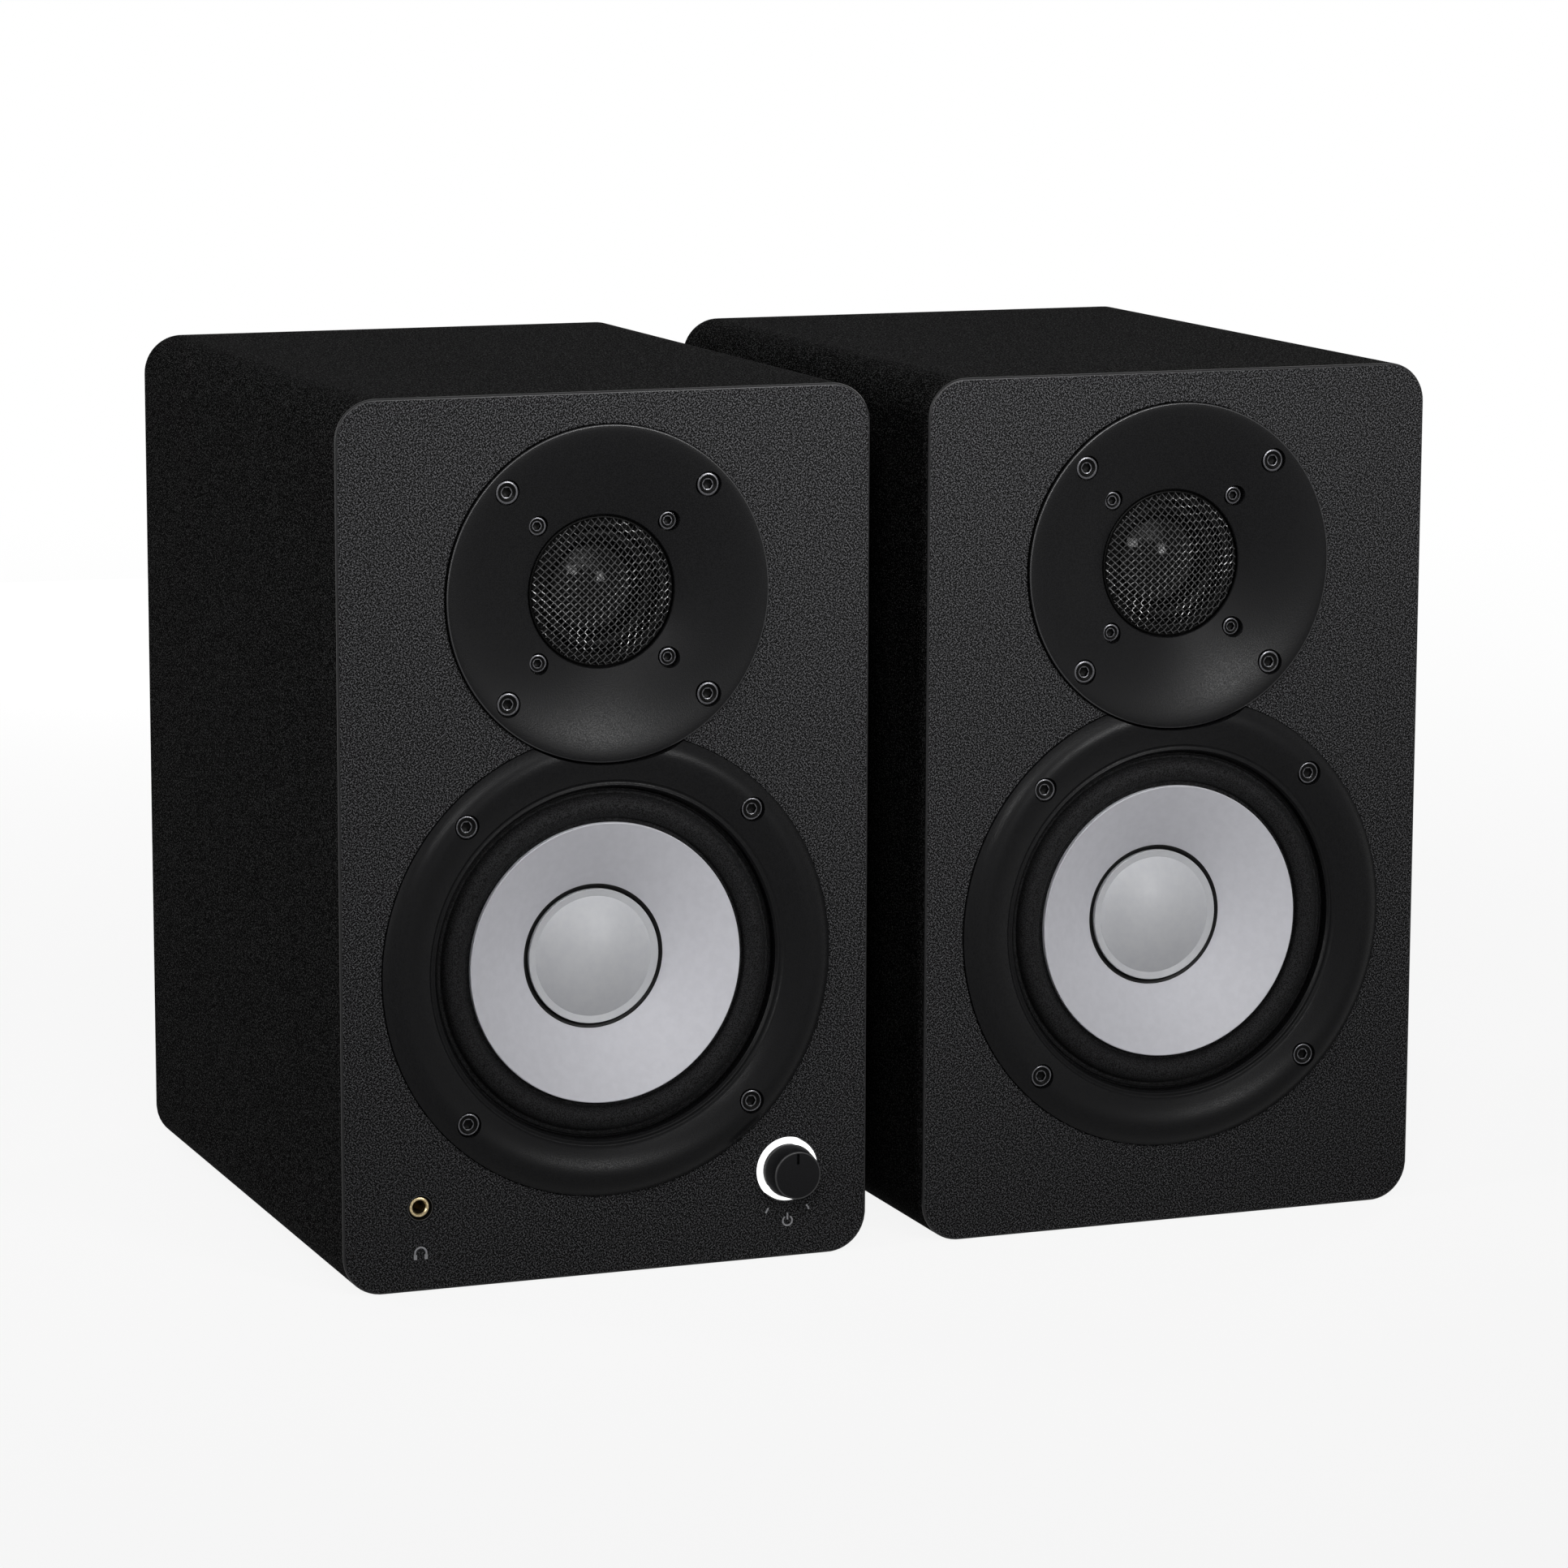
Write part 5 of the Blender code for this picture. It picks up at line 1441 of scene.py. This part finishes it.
@dataclass(frozen=True)
class Port:
    """The flared bass port in the rear board."""

    seat: Seat
    height: float = 186.0
    flange: float = 26.0
    flange_thick: float = 2.0
    flange_ease: float = 1.2
    mouth: float = 23.5
    throat: float = 15.0
    tube: float = 17.0
    flare: float = 23.0
    taper: float = 6.0
    length: float = 82.0
    flare_length: float = 13.0
    board: float = 9.0

    def build(self) -> None:
        """Makes the port: its mouth is a quarter ellipse from the flange's face to the throat."""
        rest = BOARD_FACE + CLEARANCE
        face = rest + self.flange_thick
        turn = np.linspace(0.0, np.pi / 2.0, 20)
        opening = self.throat + (self.mouth - self.throat) * (1.0 - np.sin(turn))
        bell = np.stack((opening, face - self.flare_length * (1.0 - np.cos(turn))), axis=1)
        corner = (self.flange - self.flange_ease, face - self.flange_ease)
        edge = corner + self.flange_ease * np.stack((np.cos(turn), np.sin(turn)), axis=1)
        inside = BOARD_FACE - self.board
        tail = [
            (self.throat, rest - self.length),
            (self.tube, rest - self.length),
            (self.tube, inside - self.taper),
            (self.flare, inside),
            (self.flare, rest),
            (self.flange, rest),
        ]
        profile = np.concatenate((edge, bell, tail))
        shape = self.seat.placed(turned(profile, 120), 0.0, self.height)
        port = make_piece(self.seat.named("port_flare"), shape, (NYLON,))
        dress(port, Fixing(ROOT, "black_plastic", (self.seat.named("port_tube"),)), 30.0)


@dataclass(frozen=True)
class Controls:
    """The left speaker's front controls: lit volume knob, headphone jack and their printed signs."""

    knob: float = 6.85
    flare: float = 7.4
    flare_reach: float = 2.2
    flare_step: float = 0.5
    face: float = 6.7
    face_ease: float = 0.45
    face_thick: float = 3.2
    reach: float = 8.0
    sunk: float = 2.0
    shaft_bore: float = 3.3
    mark: tuple[float, float, float] = (0.85, 3.0, 0.4)
    mark_up: float = 4.55
    mark_deep: float = 1.0
    ring: float = 8.75
    ring_ease: float = 0.2
    ring_back: float = 14.7
    well: float = 7.15
    well_deep: float = 6.0
    shaft_hole: float = 3.5
    jack: float = 2.8
    bore: float = 1.8
    jack_front: float = 0.8
    jack_back: float = 26.7
    jack_end: float = 3.0
    housing: float = 5.0
    housing_front: float = 15.3
    collar: float = 3.82
    collar_bore: float = 3.0
    collar_deep: float = 3.0
    collar_lip: tuple[float, float] = (3.46, 0.12)
    lip_half: float = 0.13
    power_sign: tuple[float, float] = (51.84, 10.1)
    power_radius: float = 1.35
    power_bar: tuple[float, float] = (0.3, 2.2)
    phones_sign: tuple[float, float] = (-53.4, 10.5)
    phones_radius: float = 1.6
    cup_aside: float = 1.5
    cup_bar: tuple[float, float] = (-0.4, -1.75)
    cup_width: float = 0.9
    ticks: tuple[tuple[float, float], ...] = ((45.84, 13.41), (57.8, 13.51))
    tick_half: float = 0.8
    tick_width: float = 0.5
    line: float = 0.45
    ink: tuple[float, float] = (-0.03, 0.1)

    def build_knob(self) -> None:
        """Makes the knob, widest just clear of its light, with a smooth edge and a pointer groove."""
        turn = np.linspace(np.pi / 2.0, 0.0, 7)
        ease = self.face_ease
        corner = (self.face - ease, ease - self.reach)
        edge = corner + ease * np.stack((np.cos(turn), -np.sin(turn)), axis=1)
        bore_floor = self.face_thick - self.reach
        tail = [
            (self.flare, -self.flare_reach),
            (self.knob, self.flare_step - self.flare_reach),
            (self.knob, self.sunk),
            (self.shaft_bore, self.sunk),
            (self.shaft_bore, bore_floor),
            (0.0, bore_floor),
        ]
        profile = np.concatenate(([(0.0, -self.reach)], edge, tail))
        sides = 144
        zones = np.zeros(len(profile) - 1, int)
        # The eased edge takes the lighter edge finish, a painted highlight round the face.
        zones[1 : len(edge)] = 1
        shape = Seat.LEFT.placed(turned(profile, sides), *KNOB_AT)
        knob = make_piece("knob_body", shape, (KNOB, POLISHED_EDGE_HIGHLIGHT), np.repeat(zones, sides))
        mark = rounded_outline(*self.mark)
        groove = lofted([(mark, rise - self.reach) for rise in (-self.mark_deep, self.mark_deep)])
        carve(knob, Seat.LEFT.placed(groove, KNOB_AT[0], KNOB_AT[1] + self.mark_up))
        dress(knob, Fixing("volume", "knob", ("volume_knob",)), 30.0)

    def build_light(self) -> None:
        """Makes the lit ring round the knob: a turned cup with eased front edges and a hole for the shaft."""
        ease = self.ring_ease
        profile = [
            (self.ring, self.ring_back),
            (self.ring, 0.0),
            (self.ring - ease, -ease),
            (self.well + ease, -ease),
            (self.well, 0.0),
            (self.well, self.well_deep),
            (self.shaft_hole, self.well_deep),
            (self.shaft_hole, self.ring_back),
        ]
        shape = Seat.LEFT.placed(turned(profile, 144), *KNOB_AT)
        ring = make_piece("light_diffuser", shape, (DIFFUSER,))
        dress(ring, Fixing(ROOT, "light_guide", ("light_ring",)))

    def build_jack(self) -> None:
        """Makes the brass sleeve of the headphone jack, with its housing behind the front."""
        front, back = self.jack_front, self.jack_back
        end = back - self.jack_end
        profile = [
            (self.bore, front + 0.35),
            (self.bore + 0.3, front),
            (self.jack - 0.3, front),
            (self.jack - 0.08, front + 0.1),
            (self.jack, front + 0.35),
            (self.jack, self.housing_front),
            (self.housing, self.housing_front),
            (self.housing, back),
            (0.0, back),
            (0.0, end),
            (self.bore, end),
        ]
        sleeve = make_piece("jack_sleeve", Seat.LEFT.placed(turned(profile, 72), *JACK_AT), (BRASS,))
        dress(sleeve, Fixing(ROOT, "brass", ("headphone_jack",)), 30.0)

    def build_collar(self) -> None:
        """Makes the collar that lines the jack's recess, its own black deepened to dull black as painted
        shade of the recess, with a smooth round lip in front painted lighter as a highlight.
        """
        turn = np.linspace(-0.25, 1.25, 8) * np.pi
        lip = self.collar_lip + self.lip_half * np.stack((np.cos(turn), -np.sin(turn)), axis=1)
        outside = [
            (self.collar_bore, self.collar_deep),
            (self.collar, self.collar_deep),
            (self.collar, 0.25),
        ]
        profile = np.concatenate((outside, lip, [(self.collar_bore, 0.9)]))
        sides = 72
        zones = np.zeros(len(profile), int)
        # The lip's faces take the lighter edge finish, a painted highlight. The rest is dull black, painted
        # shade.
        zones[len(outside) : len(outside) + len(lip) - 1] = 1
        shape = Seat.LEFT.placed(turned(profile, sides), *JACK_AT)
        collar = make_piece("jack_collar", shape, (BLACK_OXIDE_AND_SHADE, POLISHED_EDGE_HIGHLIGHT), np.repeat(zones, sides))
        dress(collar, Fixing(ROOT, "black_plastic"))

    def tick(self, x: float, z: float) -> Surface:
        """Prints a short mark that points at the knob's axis.

        Args:
            x: Place of its middle across the front.
            z: Height of its middle.

        Returns:
            The closed mark.
        """
        towards = np.array(KNOB_AT) - (x, z)
        towards /= np.linalg.norm(towards)
        share = np.linspace(-self.tick_half, self.tick_half, 5)[:, None]
        return stroke(np.array((x, z)) + share * towards, self.tick_width, *self.ink)

    def upright(self, x: float, z: float, span: tuple[float, float], width: float) -> Surface:
        """An upright printed line that covers a span of heights above z."""
        path = np.stack((np.full(4, x), z + np.linspace(*span, 4)), axis=1)
        return stroke(path, width, *self.ink)

    def build_signs(self) -> None:
        """Prints the volume marks, the power sign and the headphone sign on the front."""
        open_ring = arc_path(*self.power_sign, self.power_radius, 125.0, 415.0)
        band = arc_path(*self.phones_sign, self.phones_radius, 200.0, -20.0)
        phones_x, phones_z = self.phones_sign
        cups = [
            self.upright(phones_x + aside, phones_z, self.cup_bar, self.cup_width)
            for aside in (-self.cup_aside, self.cup_aside)
        ]
        shape = joined(
            *[self.tick(*place) for place in self.ticks],
            stroke(open_ring, self.line, *self.ink),
            self.upright(*self.power_sign, self.power_bar, self.line),
            stroke(band, self.line, *self.ink),
            *cups,
        )
        signs = make_piece("printed_signs", Seat.LEFT.placed(shape, 0.0, 0.0), (INK,))
        dress(signs, Fixing(ROOT, "panel_paint"))

    def build(self) -> None:
        """Makes all the front controls."""
        self.build_knob()
        self.build_light()
        self.build_jack()
        self.build_collar()
        self.build_signs()


@dataclass(frozen=True)
class RearPanel:
    """The left speaker's amplifier panel with its sockets, switches and screws."""

    height: float = 71.0
    width: float = 116.0
    tall: float = 110.0
    ease: float = 0.35
    screw: CapScrew = CapScrew(2.3, 2.4, socket=1.1, socket_deep=1.2, cup_deep=0.3)
    screw_inset: float = 4.0
    screw_proud: float = 1.3
    seat: float = PANEL_FACE + CLEARANCE
    body_near: float = PANEL_FACE - 23.7
    socket_z: float = 103.0
    combo_x: tuple[float, float] = (-38.0, -7.0)
    combo_flange: tuple[float, float] = (26.0, 30.0)
    combo_corner: float = 2.0
    combo_thick: float = 2.0
    combo_mouth: float = 9.5
    combo_wall: float = 1.2
    combo_deep: float = 7.0
    combo_screw: tuple[float, float] = (9.8, 12.0)
    combo_screw_proud: float = 3.3
    plug_bore: float = 3.4
    plug_end: float = 3.0
    pin_hole: float = 1.3
    pin_circle: float = 6.2
    pin_deep: float = 6.0
    phono_x: float = 34.0
    phono_spacing: float = 14.0
    phono_reach: float = 9.0
    phono_flange: tuple[float, float] = (29.0, 15.0)
    phono_corner: float = 1.5
    phono_thick: float = 1.5
    phono_body: tuple[float, float] = (26.0, 12.0)
    phono_sunk: float = 0.1
    barrel: float = 4.1
    barrel_bore: float = 3.1
    barrel_ease: float = 0.4
    insert: float = 3.0
    insert_bore: float = 1.6
    colour_ring: tuple[float, float] = (4.2, 5.1)
    colour_ring_high: float = 1.5
    inlet_at: tuple[float, float] = (-34.0, 39.0)
    inlet_flange: tuple[float, float] = (27.0, 17.0)
    inlet_corner: float = 2.5
    inlet_recess: tuple[float, float, float] = (16.0, 8.4, 4.15)
    inlet_deep: float = 9.0
    inlet_pin: float = 1.2
    inlet_pin_aside: float = 4.3
    switch_ease: float = 0.3

    def body(self, width: float, tall: float) -> Surface:
        """A socket's body, from its flange down to the circuit board."""
        outline = rounded_outline(width, tall, 0.8, 3)
        return lofted([(outline, self.body_near), (outline, self.seat + 0.2)])

    def build_plate(self) -> None:
        """Rounds the panel's edges."""
        panel = eased_copy("amplifier_panel", self.ease, PANEL_PAINT)
        dress(panel, Fixing(ROOT, "panel_paint", ("amplifier_panel",)), 40.0)

    def build_screws(self) -> None:
        """Makes the screws round the panel and in the jacks' flanges, with their sockets outwards."""
        side, up = self.width / 2.0 - self.screw_inset, self.tall / 2.0 - self.screw_inset
        top = PANEL_FACE + self.screw_proud
        round_panel = [(x, top, self.height + z) for x in (-side, side) for z in (-up, 0.0, up)]
        flange_top = PANEL_FACE + self.combo_screw_proud
        aside, above = self.combo_screw
        in_flanges = [
            (x + aside * way, flange_top, self.socket_z + above * way)
            for x in self.combo_x
            for way in (-1.0, 1.0)
        ]
        places = np.array(round_panel + in_flanges)
        head = self.screw.shape()
        outward = Surface(head.points * (1.0, -1.0, 1.0), head.faces)
        heads = Seat.LEFT.placed(repeated(outward, places), 0.0, 0.0)
        add_screws("panel_screws", heads, self.screw.zones(len(places)))

    def build_combo(self, name: str, x: float) -> None:
        """Makes one combination jack: a round mouth with three pin holes about a plug bore.

        Args:
            name: The jack's solid.
            x: Its place across the panel.
        """
        face = self.seat + self.combo_thick
        flange = eased_plate(*self.combo_flange, self.combo_corner, self.seat, face, 0.5)
        jack = make_piece(f"{name}_socket", Seat.LEFT.placed(flange, x, self.socket_z), (NYLON,))
        floor = self.seat - self.combo_deep
        mouth = rod(self.combo_mouth, floor, face + 2.0, 72)
        carve(jack, Seat.LEFT.placed(mouth, x, self.socket_z))
        dress(jack, Fixing(ROOT, "black_plastic"), 30.0)
        outside = self.combo_mouth + self.combo_wall
        tube = [
            (outside, self.body_near),
            (outside, self.seat),
            (self.combo_mouth, self.seat + 0.6),
            (self.combo_mouth, floor),
            (0.0, floor),
            (0.0, self.body_near),
        ]
        core = make_piece(f"{name}_core", Seat.LEFT.placed(turned(tube, 72), x, self.socket_z), (NYLON,))
        plug = rod(self.plug_bore, self.body_near + self.plug_end, self.seat, 48)
        pin = rod(self.pin_hole, floor - self.pin_deep, self.seat, 24)
        pins = repeated(pin, ring_places(self.pin_circle, (90.0, 210.0, 330.0)))
        carve(core, Seat.LEFT.placed(joined(plug, pins), x, self.socket_z))
        dress(core, Fixing(ROOT, "black_plastic", (name,)), 30.0)

    def build_phono(self) -> None:
        """Makes the phono sockets' flange and body, and a pair of plated barrels on it."""
        face = self.seat + self.phono_thick
        flange = eased_plate(*self.phono_flange, self.phono_corner, self.seat, face, 0.4)
        block = Seat.LEFT.placed(joined(flange, self.body(*self.phono_body)), self.phono_x, self.socket_z)
        dress(make_piece("phono_flange", block, (NYLON,)), Fixing(ROOT, "black_plastic"), 30.0)
        foot, tip = face - self.phono_sunk, self.seat + self.phono_reach
        ease = self.barrel_ease
        profile = [
            (self.barrel, foot),
            (self.barrel, tip - ease),
            (self.barrel - ease, tip),
            (self.barrel_bore + ease / 2.0, tip),
            (self.barrel_bore, tip - ease),
            (self.barrel_bore, foot),
        ]
        pair = repeated(turned(profile, 64), self.phono_spacing / 2.0 * SIDE_BY_SIDE)
        barrels = Seat.LEFT.placed(pair, self.phono_x, self.socket_z)
        metal = make_piece("phono_barrels", barrels, (NICKEL,))
        dress(metal, Fixing(ROOT, "plated_steel", ("phono_sockets",)), 30.0)

    def build_phono_rings(self) -> None:
        """Makes each barrel's coloured ring and the insert of its colour."""
        foot = self.seat + self.phono_thick - self.phono_sunk
        mouth, floor = self.seat + self.phono_reach - 0.8, foot + 0.5
        insert = [
            (self.insert, foot),
            (self.insert, mouth),
            (self.insert_bore, mouth),
            (self.insert_bore, floor),
            (0.0, floor),
            (0.0, foot),
        ]
        inner, outer = self.colour_ring
        top = foot + self.colour_ring_high
        ring = [(outer, foot), (outer, top - 0.4), (outer - 0.3, top), (inner, top), (inner, foot)]
        shape = joined(turned(insert, 64), turned(ring, 64))
        half = self.phono_spacing / 2.0
        for colour, finish, slot, aside in (
            ("white", WHITE_NYLON, "black_plastic", -half),
            ("red", RED_NYLON, "red_plastic", half),
        ):
            placed = Seat.LEFT.placed(shape, self.phono_x + aside, self.socket_z)
            dress(make_piece(f"phono_{colour}_ring", placed, (finish,)), Fixing(ROOT, slot), 30.0)

    def build_inlet(self) -> None:
        """Makes the two-pin mains inlet: a rounded recess with plated pins."""
        floor = self.seat - self.inlet_deep
        flange = eased_plate(*self.inlet_flange, self.inlet_corner, floor - 0.5, self.seat + 2.0, 0.6)
        inlet = make_piece("inlet_socket", Seat.LEFT.placed(flange, *self.inlet_at), (NYLON,))
        opening = rounded_outline(*self.inlet_recess, 10)
        recess = lofted([(opening, depth) for depth in (floor, self.seat + 4.0)])
        carve(inlet, Seat.LEFT.placed(recess, *self.inlet_at))
        dress(inlet, Fixing(ROOT, "black_plastic", ("mains_inlet",)), 30.0)
        foot, tip = floor - 0.2, self.seat - 1.0
        profile = [
            (0.0, foot),
            (self.inlet_pin, foot),
            (self.inlet_pin, tip - 0.6),
            (self.inlet_pin - 0.5, tip),
            (0.0, tip),
        ]
        pins = repeated(turned(profile, 32), self.inlet_pin_aside * SIDE_BY_SIDE)
        metal = make_piece("inlet_pins", Seat.LEFT.placed(pins, *self.inlet_at), (NICKEL,))
        dress(metal, Fixing(ROOT, "plated_steel"), 30.0)

    def build(self) -> None:
        """Makes everything on the panel."""
        self.build_plate()
        self.build_screws()
        for side, x in zip(("left", "right"), self.combo_x):
            self.build_combo(f"combo_jack_{side}", x)
        self.build_phono()
        self.build_phono_rings()
        self.build_inlet()
        for switch, body in (("room_switch", "room_slider"), ("treble_switch", "treble_slider")):
            slider = eased_copy(switch, self.switch_ease, NYLON)
            dress(slider, Fixing(body, "black_plastic", (switch,)))


@dataclass(frozen=True)
class Terminals:
    """A spring terminal block with its red and black levers."""

    seat: Seat
    ease: float = 0.45

    def build(self) -> None:
        """Rounds the block's and the levers' edges."""
        block = self.seat.named("terminal_block")
        dress(eased_copy(block, self.ease, NYLON), Fixing(ROOT, "black_plastic", (block,)))
        for colour, finish in (("red", RED_NYLON), ("black", NYLON)):
            lever = self.seat.named(f"lever_{colour}")
            body = self.seat.named(f"{colour}_clip")
            dress(eased_copy(lever, self.ease, finish), Fixing(body, f"{colour}_plastic", (lever,)))


@dataclass(frozen=True)
class Innards:
    """The solids that stay as they are, most of them inside the cabinets."""

    def finishes(self) -> dict[str, Finish]:
        """Chooses a finish for each kept solid.

        Returns:
            The finish by the solid's name.
        """
        kept = {
            "amplifier_board": CIRCUIT,
            "control_board": CIRCUIT,
            "crossover_board": CIRCUIT,
            "transformer": CORE,
            "heat_sink": ALUMINIUM,
            "volume_control": NYLON,
            "power_plunger": NYLON,
            "knob_shaft": ZINC,
        }
        for seat in Seat:
            kept[seat.named("rear_board")] = REAR_BOARD
            kept[seat.named("voice_coil")] = COPPER
            kept[seat.named("woofer_magnet")] = FERRITE
            kept[seat.named("tweeter_motor")] = BLACK_OXIDE_AND_SHADE
            for steel in ("woofer_top_plate", "woofer_yoke"):
                kept[seat.named(steel)] = ZINC
        return kept

    def build(self) -> None:
        """Puts the finishes on the kept solids."""
        for node, finish in self.finishes().items():
            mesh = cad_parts[node].data
            mesh.materials.clear()
            mesh.materials.append(finish.material())
            LOG.info("%s: finished as %s", node, finish.name)


@dataclass(frozen=True)
class Lamp:
    """A soft rectangular lamp aimed at the pair, from anywhere but straight above it."""

    name: str
    place: tuple[float, float, float]
    size: tuple[float, float]
    radiance: float
    aim: tuple[float, float, float] = (0.0, 0.0, 0.12)
    spread: float = 180.0

    def build(self) -> None:
        """Adds the lamp, with the power that gives it its radiance along its axis.

        The power is pi times the area times the radiance. A beam of half angle h, which fades
        as tan(h) - tan(a), needs that times (tan(h) - h) / tan(h).
        """
        light = bpy.data.lights.new(self.name, "AREA")
        light.shape = "RECTANGLE"
        light.size, light.size_y = self.size
        half = np.radians(self.spread) / 2.0
        light.spread = 2.0 * half
        beam = 1.0 - half / np.tan(half)
        light.energy = np.pi * self.size[0] * self.size[1] * self.radiance * beam
        away = np.array(self.place) - np.array(self.aim)
        back = away / np.linalg.norm(away)
        level = np.cross((0.0, 0.0, 1.0), back)
        right = level / np.linalg.norm(level)
        stand(put_in_scene(self.name, light), self.place, right, np.cross(back, right), back)


@dataclass(frozen=True)
class Studio:
    """Camera, soft lamps, white surroundings and a pale floor that keeps the shadow."""

    camera_place: tuple[float, float, float] = (-0.56925, -1.47609, 0.38916)
    yaw: float = 21.2643
    pitch: float = -9.8792
    roll: float = 0.2038
    focal_pixels: float = 6836.61
    floor_half: float = 15.0
    floor_drop: float = 0.0002
    floor_fade: tuple[float, float] = (0.35, 1.6)
    floor_colour: str = "#f2f2f2"
    floor_bounce: str = "#343434"
    floor_white: float = 0.89
    room_light: float = 0.04
    lamps: tuple[Lamp, ...] = (
        Lamp("upper softbox", (-0.05, -0.72, 0.76), (1.0, 0.45), 4.6, (0.0, -0.1, 0.34), 60.0),
        Lamp("right softbox", (0.38, -1.25, 0.52), (0.28, 0.34), 60.0, (0.0, -0.1, 0.38), 40.0),
        Lamp("left softbox", (-0.55, -1.19, 0.74), (0.28, 0.28), 37.5, (0.0, -0.1, 0.38), 40.0),
        Lamp("side softbox", (-1.3, -0.36, 0.45), (0.35, 0.7), 7.0),
        Lamp("rear left strip", (-1.1, 0.75, 0.5), (0.25, 1.0), 4.0),
        Lamp("rear right strip", (1.1, 0.75, 0.5), (0.25, 1.0), 4.0),
        Lamp("rear softbox", (0.16, 1.3, 0.12), (0.28, 0.2), 42.0),
    )

    def build_camera(self) -> None:
        """Adds the camera: forward from yaw and pitch, then rolled about it."""
        yaw, pitch, roll = np.radians((self.yaw, self.pitch, self.roll))
        forward = np.array((np.sin(yaw) * np.cos(pitch), np.cos(yaw) * np.cos(pitch), np.sin(pitch)))
        level = np.array((np.cos(yaw), -np.sin(yaw), 0.0))
        upright = np.cross(level, forward)
        right = np.cos(roll) * level + np.sin(roll) * upright
        up = np.cross(right, forward)
        data = bpy.data.cameras.new("photo camera")
        data.sensor_width = SENSOR_MM
        data.lens = SENSOR_MM * self.focal_pixels / PHOTO_PIXELS
        data.clip_end = 100.0
        camera = put_in_scene("photo camera", data)
        stand(camera, self.camera_place, right, up, -forward)
        bpy.context.scene.camera = camera

    def seen_directly(self, tree: bpy.types.NodeTree) -> Socket:
        """Adds nodes that give 1 for camera, glossy and transmission rays.

        Args:
            tree: The node tree they join.

        Returns:
            The socket that holds the sum, kept at 1 at most.
        """
        path = add_node(tree, "ShaderNodeLightPath").outputs
        pair = {0: path["Is Camera Ray"], 1: path["Is Glossy Ray"]}
        first = add_node(tree, "ShaderNodeMath", pair, operation="MAXIMUM").outputs[0]
        both = {0: first, 1: path["Is Transmission Ray"]}
        return add_node(tree, "ShaderNodeMath", both, operation="MAXIMUM").outputs[0]

    def build_world(self) -> None:
        """Makes the surroundings white to the eye and in reflections, and dim as a light."""
        world = bpy.data.worlds.new("white room")
        world.use_nodes = True
        tree = world.node_tree
        tree.nodes.clear()
        seen = {"Value": self.seen_directly(tree), "To Min": self.room_light, "To Max": 1.0}
        strength = add_node(tree, "ShaderNodeMapRange", seen).outputs["Result"]
        background = add_node(tree, "ShaderNodeBackground", {"Color": WHITE, "Strength": strength})
        add_node(tree, "ShaderNodeOutputWorld", {"Surface": background.outputs[0]})
        bpy.context.scene.world = world

    def floor_paint(self) -> bpy.types.Material:
        """Makes the floor's paint.

        Where it is seen it is part white of its own and part lit, which holds the shadow, and far
        from the pair it is all white. The light that it throws back on the pair is a grey floor's.

        Returns:
            The paint.
        """
        paint = bare_material("pale floor paint")
        tree = paint.node_tree
        seen = self.seen_directly(tree)
        tint = {0: seen, 6: linear(self.floor_bounce), 7: linear(self.floor_colour)}
        colour = add_node(tree, "ShaderNodeMix", tint, data_type="RGBA").outputs[2]
        matt = add_node(tree, "ShaderNodeBsdfDiffuse", {"Color": colour})
        own = add_node(tree, "ShaderNodeEmission", {"Color": WHITE})
        place = add_node(tree, "ShaderNodeTexCoord").outputs["Object"]
        away = add_node(tree, "ShaderNodeVectorMath", {0: place}, operation="LENGTH").outputs["Value"]
        near, far = self.floor_fade
        fade = {"Value": away, "From Min": near, "From Max": far, "To Min": self.floor_white, "To Max": 1.0}
        share = add_node(tree, "ShaderNodeMapRange", fade, interpolation_type="SMOOTHSTEP").outputs["Result"]
        white = add_node(tree, "ShaderNodeMath", {0: share, 1: seen}, operation="MULTIPLY").outputs[0]
        mixed = {0: white, 1: matt.outputs[0], 2: own.outputs[0]}
        shader = add_node(tree, "ShaderNodeMixShader", mixed)
        add_node(tree, "ShaderNodeOutputMaterial", {"Surface": shader.outputs[0]})
        return paint

    def build_floor(self) -> None:
        """Makes a flat pale floor, a hair below the pair, in metres."""
        corner = np.array((-self.floor_half, self.floor_half))
        across, deep = np.meshgrid(corner, corner)
        points = np.stack((across, deep, np.full_like(across, -self.floor_drop)), axis=-1)
        surface = grid(points, wrap_columns=False)
        mesh = bpy.data.meshes.new("floor")
        mesh.from_pydata(surface.points.tolist(), [], surface.faces.tolist())
        mesh.materials.append(self.floor_paint())
        put_in_scene("floor", mesh)

    def build(self) -> None:
        """Makes the whole stage."""
        bpy.context.scene.view_settings.view_transform = "Standard"
        self.build_camera()
        self.build_world()
        self.build_floor()
        for lamp in self.lamps:
            lamp.build()
        LOG.info("studio: %d lamps", len(self.lamps))


def main() -> None:
    """Builds the pair's pieces, dresses the kept solids and sets the stage."""
    logging.basicConfig(level=logging.INFO, format="%(message)s")
    for seat in Seat:
        Cabinet(seat).build()
        Woofer(seat).build()
        Tweeter(seat).build()
        Port(seat).build()
        Terminals(seat).build()
    Controls().build()
    RearPanel().build()
    Innards().build()
    Studio().build()


if __name__ == "__main__":
    main()
